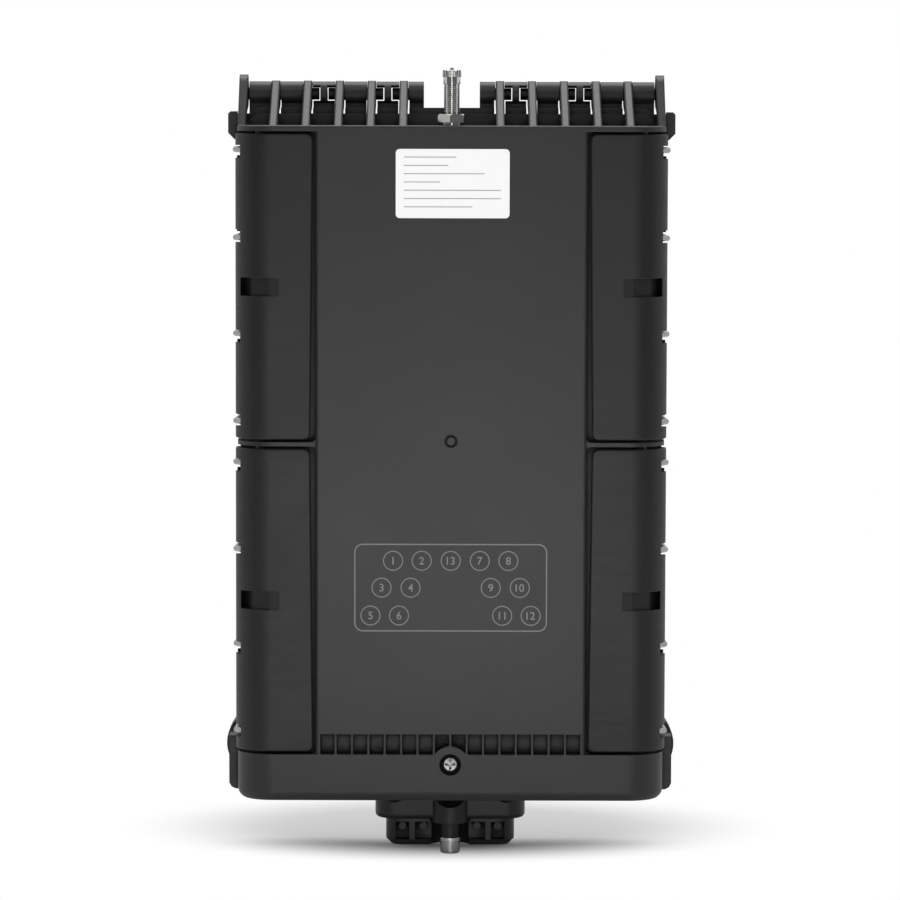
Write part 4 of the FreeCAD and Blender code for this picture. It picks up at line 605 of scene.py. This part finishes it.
LABEL_INK = PrintedMark("grey_label_ink", grey(0.3), grey(0.4))
MARK_GREY = PrintedMark("pale_grey_marks", grey(0.26), grey(0.2))


def node_piece(name: str, finish: Finish) -> None:
    """Gives a CAD node its finish.

    Args:
        name: Name of the node.
        finish: Its finish.
    """
    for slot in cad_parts[name].material_slots:
        slot.material = finish.material()
    LOG.info("dressed %s with %s", name, finish.name)


def show(thing: bpy.types.Object) -> None:
    """Puts an object into the scene."""
    bpy.context.scene.collection.objects.link(thing)


def finished_mesh(name: str, shape: bmesh.types.BMesh) -> bpy.types.Mesh:
    """Turns a bmesh into a mesh.

    Args:
        name: Name of the mesh.
        shape: Mesh in the frame's place, in metres; it is freed.

    Returns:
        The finished mesh.
    """
    mesh = bpy.data.meshes.new(name)
    shape.to_mesh(mesh)
    shape.free()
    return mesh


def new_piece(name: str, shape: bmesh.types.BMesh, finish: Finish, body: str) -> None:
    """Turns a bmesh into a piece that rides on a body.

    Args:
        name: Name of the piece.
        shape: Mesh in the frame's place, in metres; it is freed.
        finish: Its finish.
        body: Body that carries it.
    """
    bmesh.ops.remove_doubles(shape, verts=shape.verts, dist=TINY)
    bmesh.ops.recalc_face_normals(shape, faces=shape.faces)
    mesh = finished_mesh(name, shape)
    mesh.shade_smooth()
    mesh.set_sharp_from_angle(angle=math.radians(SHARP_DEG))
    mesh.materials.append(finish.material())
    piece = bpy.data.objects.new(name, mesh)
    show(piece)
    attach(piece, body)
    LOG.info("built %s on %s, %d faces", name, body, len(mesh.polygons))


def is_along_y(edge: bmesh.types.BMEdge) -> bool:
    """Whether an edge runs from front to back."""
    run = edge.verts[1].co - edge.verts[0].co
    return abs(run.y) > NEARLY_ALONG * run.length


def add_plate(shape: bmesh.types.BMesh, centre: Vector, size: Vector, corner: float = 0.0,
              corner_steps: int = 6) -> None:
    """Adds a plate that faces the front, with square or rounded corners.

    Args:
        shape: Mesh that gets it.
        centre: Middle of the plate.
        size: Width, depth and height.
        corner: Radius of the four corners, seen from the front.
        corner_steps: Faces round a corner.
    """
    made = bmesh.ops.create_cube(shape, size=1.0)["verts"]
    bmesh.ops.scale(shape, verts=made, vec=size)
    bmesh.ops.translate(shape, verts=made, vec=centre)
    if corner > 0.0:
        across = [e for e in shape.edges if e.verts[0] in made and is_along_y(e)]
        bmesh.ops.bevel(shape, geom=across, offset=corner, offset_type="OFFSET", segments=corner_steps,
                        profile=ROUND_PROFILE, affect="EDGES", material=KEEP_MATERIAL)


def add_turned(shape: bmesh.types.BMesh, profile: list[tuple[float, float]], centre: Vector,
               axis: Vector, steps: int) -> None:
    """Adds a turned form.

    Args:
        shape: Mesh that gets it.
        profile: Closed or axis-to-axis run of (radius, height).
        centre: Foot of the axis.
        axis: Direction of the height.
        steps: Faces round the turn.
    """
    before = set(shape.verts)
    points = [shape.verts.new((radius, 0.0, height)) for radius, height in profile]
    edges = [shape.edges.new(pair) for pair in zip(points, points[1:])]
    bmesh.ops.spin(shape, geom=points + edges, cent=ORIGIN, axis=UP, angle=FULL_TURN, steps=steps,
                   use_merge=True)
    made = [v for v in shape.verts if v not in before]
    bmesh.ops.remove_doubles(shape, verts=made, dist=TINY)
    made = [v for v in shape.verts if v not in before]
    turn = Vector(UP).rotation_difference(axis).to_matrix()
    bmesh.ops.rotate(shape, verts=made, cent=ORIGIN, matrix=turn)
    bmesh.ops.translate(shape, verts=made, vec=centre)


@dataclass
class Housing:
    """Moulded black body: shell, cover, levers and gland."""

    shells: tuple[str, ...] = ("rear_shell", "front_cover", "gland_body", "gland_clamp", "bolt_sleeve")
    seals: tuple[str, ...] = ("shell_gasket", "gland_seal", "trunk_plugs")

    def dress(self) -> None:
        """Gives shells, levers, seals and bushes their finishes."""
        for name in self.shells:
            node_piece(name, HOUSING_BLACK)
        for level in Level:
            for side in Side:
                node_piece(f"latch_lever_{level.value}_{side.value}", LEVER_BLACK)
        for name in self.seals:
            node_piece(name, RUBBER_BLACK)
        node_piece("mount_inserts", BRASS_TURNED)


@dataclass
class Ports:
    """Drop ports in the floor, with their dust caps."""

    count: int = 13

    def dress(self) -> None:
        """Gives adapters and caps their finishes."""
        node_piece("port_adapters", ADAPTER_GREY)
        for number in range(1, self.count + 1):
            node_piece(f"port_cap_{number:02d}", CAP_BLACK)


@dataclass
class Latches:
    """Pins of the hinge and levers, the wire bails, and the floors of the tool slots."""

    hinge_places: tuple[str, ...] = ("inner", "middle", "outer")
    slot_inner: tuple[float, float] = (99.0 * MM, -103.65 * MM)
    slot_outer: tuple[float, float] = (105.0 * MM, -91.9 * MM)
    slot_heights: tuple[tuple[Level, float], ...] = (
        (Level.UPPER, 88.875 * MM),
        (Level.LOWER, -67.775 * MM),
    )
    floor_thickness: float = 0.8 * MM
    floor_height: float = 10.4 * MM

    def dress(self) -> None:
        """Gives pins and bails their finishes."""
        for side in Side:
            for place in self.hinge_places:
                node_piece(f"hinge_pin_{place}_{side.value}", PIN_BLACK)
            for level in Level:
                node_piece(f"pivot_pin_{level.value}_{side.value}", PIN_BLACK)
                for place in Place:
                    node_piece(f"wire_bail_{level.value}_{place.value}_{side.value}", WIRE_STEEL)

    def build(self) -> None:
        """Builds a thin floor behind each lever's tool slot, which rides on the lever."""
        run = Vector(self.slot_outer) - Vector(self.slot_inner)
        middle = (Vector(self.slot_outer) + Vector(self.slot_inner)) / 2
        size = (run.length, self.floor_thickness, self.floor_height)
        for side, sign in ((Side.LEFT, -1.0), (Side.RIGHT, 1.0)):
            turn = Matrix.Rotation(sign * math.atan2(run.y, run.x), 3, "Z")
            for level, height in self.slot_heights:
                shape = bmesh.new()
                bmesh.ops.create_cube(shape, size=1.0)
                bmesh.ops.scale(shape, verts=shape.verts, vec=size)
                bmesh.ops.rotate(shape, verts=shape.verts, cent=ORIGIN, matrix=turn)
                bmesh.ops.translate(shape, verts=shape.verts, vec=(sign * middle.x, middle.y, height))
                where = f"{level.value}_{side.value}"
                new_piece(f"slot_floor_{where}", shape, SLOT_BLACK, f"latch_{where}")


@dataclass
class SpliceTray:
    """Splice tray behind the cover, with lid, splitter and screws."""

    def dress(self) -> None:
        """Gives the tray's nodes their finishes."""
        node_piece("splice_tray", TRAY_GREY)
        node_piece("tray_lid", LID_CLEAR)
        node_piece("splitter", SPLITTER_WHITE)
        node_piece("tray_screws", STEEL_BRIGHT)


@dataclass
class PanelLabel:
    """Bare film label on the panel, with ruled lines."""

    centre_x: float = 0.5 * MM
    centre_z: float = 140.35 * MM
    width: float = 56.4 * MM
    height: float = 34.2 * MM
    thickness: float = 0.2 * MM
    corner: float = 2.0 * MM
    rule_lengths_mm: tuple[float, ...] = (26.0, 22.0, 40.0, 18.0, 48.0, 48.0, 34.0)
    rule_pitch: float = 4.1 * MM
    rule_height: float = 0.45 * MM
    rule_lift: float = 0.03 * MM
    margin: float = 4.0 * MM

    def build(self) -> None:
        """Builds the film and its ruled lines."""
        film = bmesh.new()
        middle = Vector((self.centre_x, PANEL_Y - self.thickness / 2, self.centre_z))
        add_plate(film, middle, Vector((self.width, self.thickness, self.height)), self.corner)
        new_piece("panel_label", film, LABEL_WHITE, COVER_BODY)
        rules = bmesh.new()
        left = self.centre_x - self.width / 2 + self.margin
        top = self.centre_z + self.height / 2 - self.margin
        for row, length_mm in enumerate(self.rule_lengths_mm):
            run = length_mm * MM
            middle = Vector((left + run / 2, PANEL_Y - self.thickness, top - row * self.rule_pitch))
            add_plate(rules, middle, Vector((run, 2 * self.rule_lift, self.rule_height)))
        new_piece("label_rules", rules, LABEL_INK, COVER_BODY)


@dataclass
class PortMap:
    """Raised map of the ports on the panel: frame, circles and plain numbers."""

    lift: float = 0.22 * MM
    sunk: float = 0.1 * MM
    frame_left: float = -48.1 * MM
    frame_right: float = 48.1 * MM
    frame_top: float = -38.9 * MM
    frame_bottom: float = -82.9 * MM
    frame_corner: float = 4.2426407 * MM
    frame_corner_steps: int = 8
    frame_line: float = 0.6 * MM
    circle_radius: float = 5.0 * MM
    circle_line: float = 0.5 * MM
    circle_steps: int = 48
    digit_height: float = 3.8 * MM
    digit_weight: float = 0.07 * MM
    digit_share: float = 0.7
    digit_steps: int = 6
    rows_mm: tuple[tuple[float, tuple[tuple[float, str], ...]], ...] = (
        (-47.4, ((-28.75, "1"), (-14.5, "2"), (0.0, "13"), (14.5, "7"), (28.75, "8"))),
        (-60.9, ((-34.5, "3"), (-20.0, "4"), (20.0, "9"), (34.5, "10"))),
        (-74.9, ((-40.0, "5"), (-25.75, "6"), (25.75, "11"), (40.0, "12"))),
    )

    def places(self) -> list[tuple[Vector, str]]:
        """Centres of the circles on the panel's face, with their numbers."""
        return [(Vector((x * MM, PANEL_Y, z * MM)), text) for z, row in self.rows_mm for x, text in row]

    def build(self) -> None:
        """Builds the frame, the circles and the numbers."""
        new_piece("port_map_frame", self.outline(), MARK_GREY, COVER_BODY)
        new_piece("port_map_circles", self.circles(), MARK_GREY, COVER_BODY)
        new_piece("port_map_numbers", self.numbers(), MARK_GREY, COVER_BODY)

    def outline(self) -> bmesh.types.BMesh:
        """Frame of the map.

        Returns:
            A rounded rectangle of one line width.
        """
        shape = bmesh.new()
        made = bmesh.ops.create_grid(shape, x_segments=1, y_segments=1, size=0.5)["verts"]
        width = self.frame_right - self.frame_left
        height = self.frame_top - self.frame_bottom
        bmesh.ops.scale(shape, verts=made, vec=(width, height, 1.0))
        bmesh.ops.bevel(shape, geom=shape.verts[:], offset=self.frame_corner, offset_type="OFFSET",
                        segments=self.frame_corner_steps, profile=ROUND_PROFILE, affect="VERTICES",
                        material=KEEP_MATERIAL)
        inner = shape.faces[:]
        bmesh.ops.inset_region(shape, faces=inner, thickness=self.frame_line, use_boundary=True,
                               use_even_offset=True)
        bmesh.ops.delete(shape, geom=inner, context="FACES")
        raised = bmesh.ops.extrude_face_region(shape, geom=shape.faces[:])["geom"]
        bmesh.ops.translate(shape, verts=[v for v in raised if isinstance(v, bmesh.types.BMVert)],
                            vec=(0.0, 0.0, self.lift + self.sunk))
        self.stand_up(shape, Vector(((self.frame_left + self.frame_right) / 2, PANEL_Y,
                                     (self.frame_top + self.frame_bottom) / 2)))
        return shape

    def circles(self) -> bmesh.types.BMesh:
        """Circles round the numbers.

        Returns:
            One ring for each port.
        """
        shape = bmesh.new()
        inner = self.circle_radius - self.circle_line
        profile = [(inner, -self.sunk), (self.circle_radius, -self.sunk), (self.circle_radius, self.lift),
                   (inner, self.lift), (inner, -self.sunk)]
        for centre, _ in self.places():
            add_turned(shape, profile, centre, Vector(TO_FRONT), self.circle_steps)
        return shape

    def numbers(self) -> bmesh.types.BMesh:
        """Plain numbers in the circles.

        Returns:
            All digits as one mesh.
        """
        whole = bmesh.new()
        for centre, text in self.places():
            mesh = self.flat_digits(text)
            digits = bmesh.new()
            digits.from_mesh(mesh)
            low, high = ([pick(v.co[i] for v in digits.verts) for i in range(3)] for pick in (min, max))
            middle = (Vector(low) + Vector(high)) / 2
            bmesh.ops.translate(digits, verts=digits.verts, vec=(-middle.x, -middle.y, -low[2]))
            self.stand_up(digits, centre)
            digits.to_mesh(mesh)
            digits.free()
            whole.from_mesh(mesh)
            bpy.data.meshes.remove(mesh)
        return whole

    def flat_digits(self, text: str) -> bpy.types.Mesh:
        """Digits of one number, lying flat.

        Args:
            text: The number.

        Returns:
            A mesh of the digits' full thickness.
        """
        curve = bpy.data.curves.new("digits", "FONT")
        curve.body = text
        curve.size = self.digit_height / self.digit_share
        curve.align_x = "CENTER"
        curve.offset = self.digit_weight
        curve.extrude = (self.lift + self.sunk) / 2
        curve.resolution_u = self.digit_steps
        holder = bpy.data.objects.new("digits", curve)
        mesh = bpy.data.meshes.new_from_object(holder)
        bpy.data.objects.remove(holder)
        bpy.data.curves.remove(curve)
        return mesh

    def stand_up(self, shape: bmesh.types.BMesh, centre: Vector) -> None:
        """Turns a flat mark upright and seats it in the panel's face.

        Args:
            shape: Mark in the XY plane, raised along Z.
            centre: Its place on the panel's face.
        """
        turn = Matrix.Rotation(QUARTER_TURN, 3, "X")
        bmesh.ops.rotate(shape, verts=shape.verts, cent=ORIGIN, matrix=turn)
        bmesh.ops.translate(shape, verts=shape.verts, vec=centre + Vector((0.0, self.sunk, 0.0)))


@dataclass
class PressureValve:
    """Plated pressure valve on top: dressed nodes and a cut thread on the stem."""

    nodes: tuple[str, ...] = ("valve_body", "valve_washer", "valve_nut", "valve_cap")
    axis_y: float = -97.0 * MM
    thread_radius: float = 4.05 * MM
    root_radius: float = 3.5 * MM
    thread_low: float = 175.6 * MM
    thread_high: float = 188.4 * MM
    pitch: float = 1.0 * MM
    root_share: float = 0.45
    crest_share: float = 0.08
    steps: int = 32

    def dress(self) -> None:
        """Gives the valve's nodes their finish."""
        for name in self.nodes:
            node_piece(name, VALVE_NICKEL)

    def build(self) -> None:
        """Cuts the thread as a rising ridge round the stem."""
        shape = bmesh.new()
        ridge = ((self.root_radius, -self.root_share), (self.thread_radius, -self.crest_share),
                 (self.thread_radius, self.crest_share), (self.root_radius, self.root_share))
        corners = [shape.verts.new((r, 0.0, self.thread_low + h * self.pitch)) for r, h in ridge]
        face = shape.faces.new(corners)
        turns = (self.thread_high - self.thread_low) / self.pitch
        count = round(turns * self.steps)
        bmesh.ops.spin(shape, geom=[face, *face.edges, *corners], cent=ORIGIN, axis=UP,
                       dvec=(0.0, 0.0, self.pitch / self.steps), angle=FULL_TURN * count / self.steps,
                       steps=count)
        bmesh.ops.translate(shape, verts=shape.verts, vec=(0.0, self.axis_y, 0.0))
        new_piece("valve_thread", shape, VALVE_NICKEL, COVER_BODY)


@dataclass
class Fasteners:
    """Screw, bolt and washers that show."""

    gland_nodes: tuple[str, ...] = ("clamp_bolt", "bolt_washer", "spring_washer")

    def dress(self) -> None:
        """Gives the fasteners their finishes."""
        node_piece("cover_screw", SCREW_ZINC)
        for name in self.gland_nodes:
            node_piece(name, STEEL_BRIGHT)


@dataclass(frozen=True)
class SoftLamp:
    """One soft rectangular lamp of the studio."""

    name: str
    place: Point
    aim: Point
    size: tuple[float, float]
    watts: float

    def build(self) -> None:
        """Hangs the lamp, turned to its aim and hidden from the camera."""
        data = bpy.data.lights.new(self.name, "AREA")
        data.shape = "RECTANGLE"
        data.size, data.size_y = self.size
        data.energy = self.watts
        lamp = bpy.data.objects.new(self.name, data)
        lamp.location = self.place
        lamp.rotation_euler = (Vector(self.aim) - Vector(self.place)).to_track_quat("-Z", "Y").to_euler()
        lamp.visible_camera = False
        show(lamp)


@dataclass
class Studio:
    """Pale floor, soft light and the camera."""

    floor_z: float = -204.5 * MM
    floor_half: float = 1.5
    floor_colour: Colour = grey(0.64)
    floor_roughness: float = 0.8
    shade_y: float = 0.027
    shade_reach: tuple[float, float] = (0.18, 0.115)
    white_from: float = 0.45
    white_to: float = 1.0
    room_level: float = 0.7
    front_level: float = 0.1
    back_level: float = 0.65
    back_from: float = -0.5
    back_to: float = -0.05
    camera_x: float = -0.0005
    camera_back: float = 2.1
    camera_height: float = 0.17735
    aim_z: float = 0.00805
    sensor_mm: float = 36.0
    lens_mm: float = 169.36
    roll_deg: float = 0.14
    lamps: tuple[SoftLamp, ...] = (
        SoftLamp("top_box", (0.0, 0.5, 1.5), (0.0, -0.05, 0.0), (1.6, 0.9), 16.0),
        SoftLamp("front_box", (0.0, -1.6, 1.9), (0.0, -0.05, 0.0), (0.9, 0.9), 5.5),
        SoftLamp("floor_card", (0.0, -0.72, -0.195), (0.0, -0.5, 1.0), (0.25, 0.6), 4.2),
        SoftLamp("front_strip", (0.0, -1.9, 0.3), (0.0, -0.11, 0.1), (0.2, 1.0), 1.3),
    )

    def build(self) -> None:
        """Builds floor, backdrop, lamps and camera."""
        bpy.context.scene.view_settings.view_transform = "Standard"
        self.floor()
        self.backdrop()
        for lamp in self.lamps:
            lamp.build()
        self.camera()

    def floor(self) -> None:
        """Lays the pale floor under the box."""
        shape = bmesh.new()
        bmesh.ops.create_grid(shape, x_segments=1, y_segments=1, size=self.floor_half)
        bmesh.ops.translate(shape, verts=shape.verts, vec=(0.0, 0.0, self.floor_z))
        mesh = finished_mesh("studio_floor", shape)
        mesh.materials.append(self.floor_paint())
        floor = bpy.data.objects.new("studio_floor", mesh)
        show(floor)

    def floor_paint(self) -> bpy.types.Material:
        """Paint that keeps the shadow under the box and whitens away from it.

        Returns:
            The floor's material.
        """
        paint = bpy.data.materials.new("pale_floor")
        paint.use_nodes = True
        sheet = NodeSheet(paint.node_tree)
        shader = sheet.add("ShaderNodeBsdfPrincipled", {
            "Base Color": opaque(self.floor_colour), "Roughness": self.floor_roughness})
        glow = sheet.add("ShaderNodeEmission")
        place = sheet.add("ShaderNodeTexCoord")
        shift = sheet.add("ShaderNodeMapping", vector_type="TEXTURE")
        shift.inputs["Location"].default_value = (0.0, self.shade_y, self.floor_z)
        shift.inputs["Scale"].default_value = (*self.shade_reach, 1.0)
        sheet.join(place.outputs["Object"], shift.inputs["Vector"])
        length = sheet.add("ShaderNodeVectorMath", operation="LENGTH")
        sheet.join(shift.outputs["Vector"], length.inputs[0])
        ramp = sheet.add("ShaderNodeMapRange", {"From Min": self.white_from, "From Max": self.white_to},
                         interpolation_type="SMOOTHSTEP")
        sheet.join(length.outputs["Value"], ramp.inputs["Value"])
        both = sheet.add("ShaderNodeMath", operation="MULTIPLY")
        sheet.join(ramp.outputs["Result"], both.inputs[0])
        sheet.join(self.seen_rays(sheet), both.inputs[1])
        mix = sheet.add("ShaderNodeMixShader")
        sheet.join(both.outputs["Value"], mix.inputs[0])
        sheet.join(shader.outputs["BSDF"], mix.inputs[1])
        sheet.join(glow.outputs["Emission"], mix.inputs[2])
        out = sheet.add("ShaderNodeOutputMaterial")
        sheet.join(mix.outputs["Shader"], out.inputs["Surface"])
        return paint

    def seen_rays(self, sheet: NodeSheet) -> Socket:
        """Mask of the rays that see the white studio.

        Args:
            sheet: Sheet that gets the nodes.

        Returns:
            1 for camera and transmission rays.
        """
        path = sheet.add("ShaderNodeLightPath")
        more = sheet.add("ShaderNodeMath", operation="MAXIMUM")
        sheet.join(path.outputs["Is Camera Ray"], more.inputs[0])
        sheet.join(path.outputs["Is Transmission Ray"], more.inputs[1])
        return more.outputs["Value"]

    def backdrop(self) -> None:
        """Sets a white backdrop, which metals see dimmer, and darkest in front of the box."""
        world = bpy.data.worlds.new("white_studio")
        world.use_nodes = True
        bpy.context.scene.world = world
        sheet = NodeSheet(world.node_tree)
        path = sheet.add("ShaderNodeLightPath")
        place = sheet.add("ShaderNodeTexCoord")
        split = sheet.add("ShaderNodeSeparateXYZ")
        sheet.join(place.outputs["Generated"], split.inputs["Vector"])
        behind = sheet.add("ShaderNodeMapRange", {"From Min": self.back_from, "From Max": self.back_to},
                           interpolation_type="SMOOTHSTEP")
        sheet.join(split.outputs["Y"], behind.inputs["Value"])
        mirrored = sheet.span(behind.outputs["Result"], self.front_level, self.back_level)
        level = sheet.blend(path.outputs["Is Glossy Ray"], self.room_level, mirrored)
        for name in ("Is Camera Ray", "Is Transmission Ray"):
            level = sheet.blend(path.outputs[name], level, 1.0)
        light = sheet.add("ShaderNodeBackground", {"Color": opaque(grey(1.0))})
        sheet.join(level, light.inputs["Strength"])
        out = sheet.add("ShaderNodeOutputWorld")
        sheet.join(light.outputs["Background"], out.inputs["Surface"])

    def camera(self) -> None:
        """Sets the camera at the photograph's viewing angle."""
        data = bpy.data.cameras.new("photo_camera")
        data.sensor_width = self.sensor_mm
        data.lens = self.lens_mm
        camera = bpy.data.objects.new("photo_camera", data)
        camera.location = (self.camera_x, PANEL_Y - self.camera_back, self.camera_height)
        aim = Vector((self.camera_x, PANEL_Y, self.aim_z))
        roll = Quaternion(UP, math.radians(self.roll_deg))
        camera.rotation_euler = ((aim - camera.location).to_track_quat("-Z", "Y") @ roll).to_euler()
        show(camera)
        bpy.context.scene.camera = camera


def main() -> None:
    """Builds and dresses the box, then the studio."""
    logging.basicConfig(level=logging.INFO, format="%(name)s: %(message)s")
    EffectShelf().stock()
    Housing().dress()
    Ports().dress()
    latches = Latches()
    latches.dress()
    latches.build()
    SpliceTray().dress()
    Fasteners().dress()
    valve = PressureValve()
    valve.dress()
    valve.build()
    PanelLabel().build()
    PortMap().build()
    Studio().build()


if __name__ == "__main__":
    main()
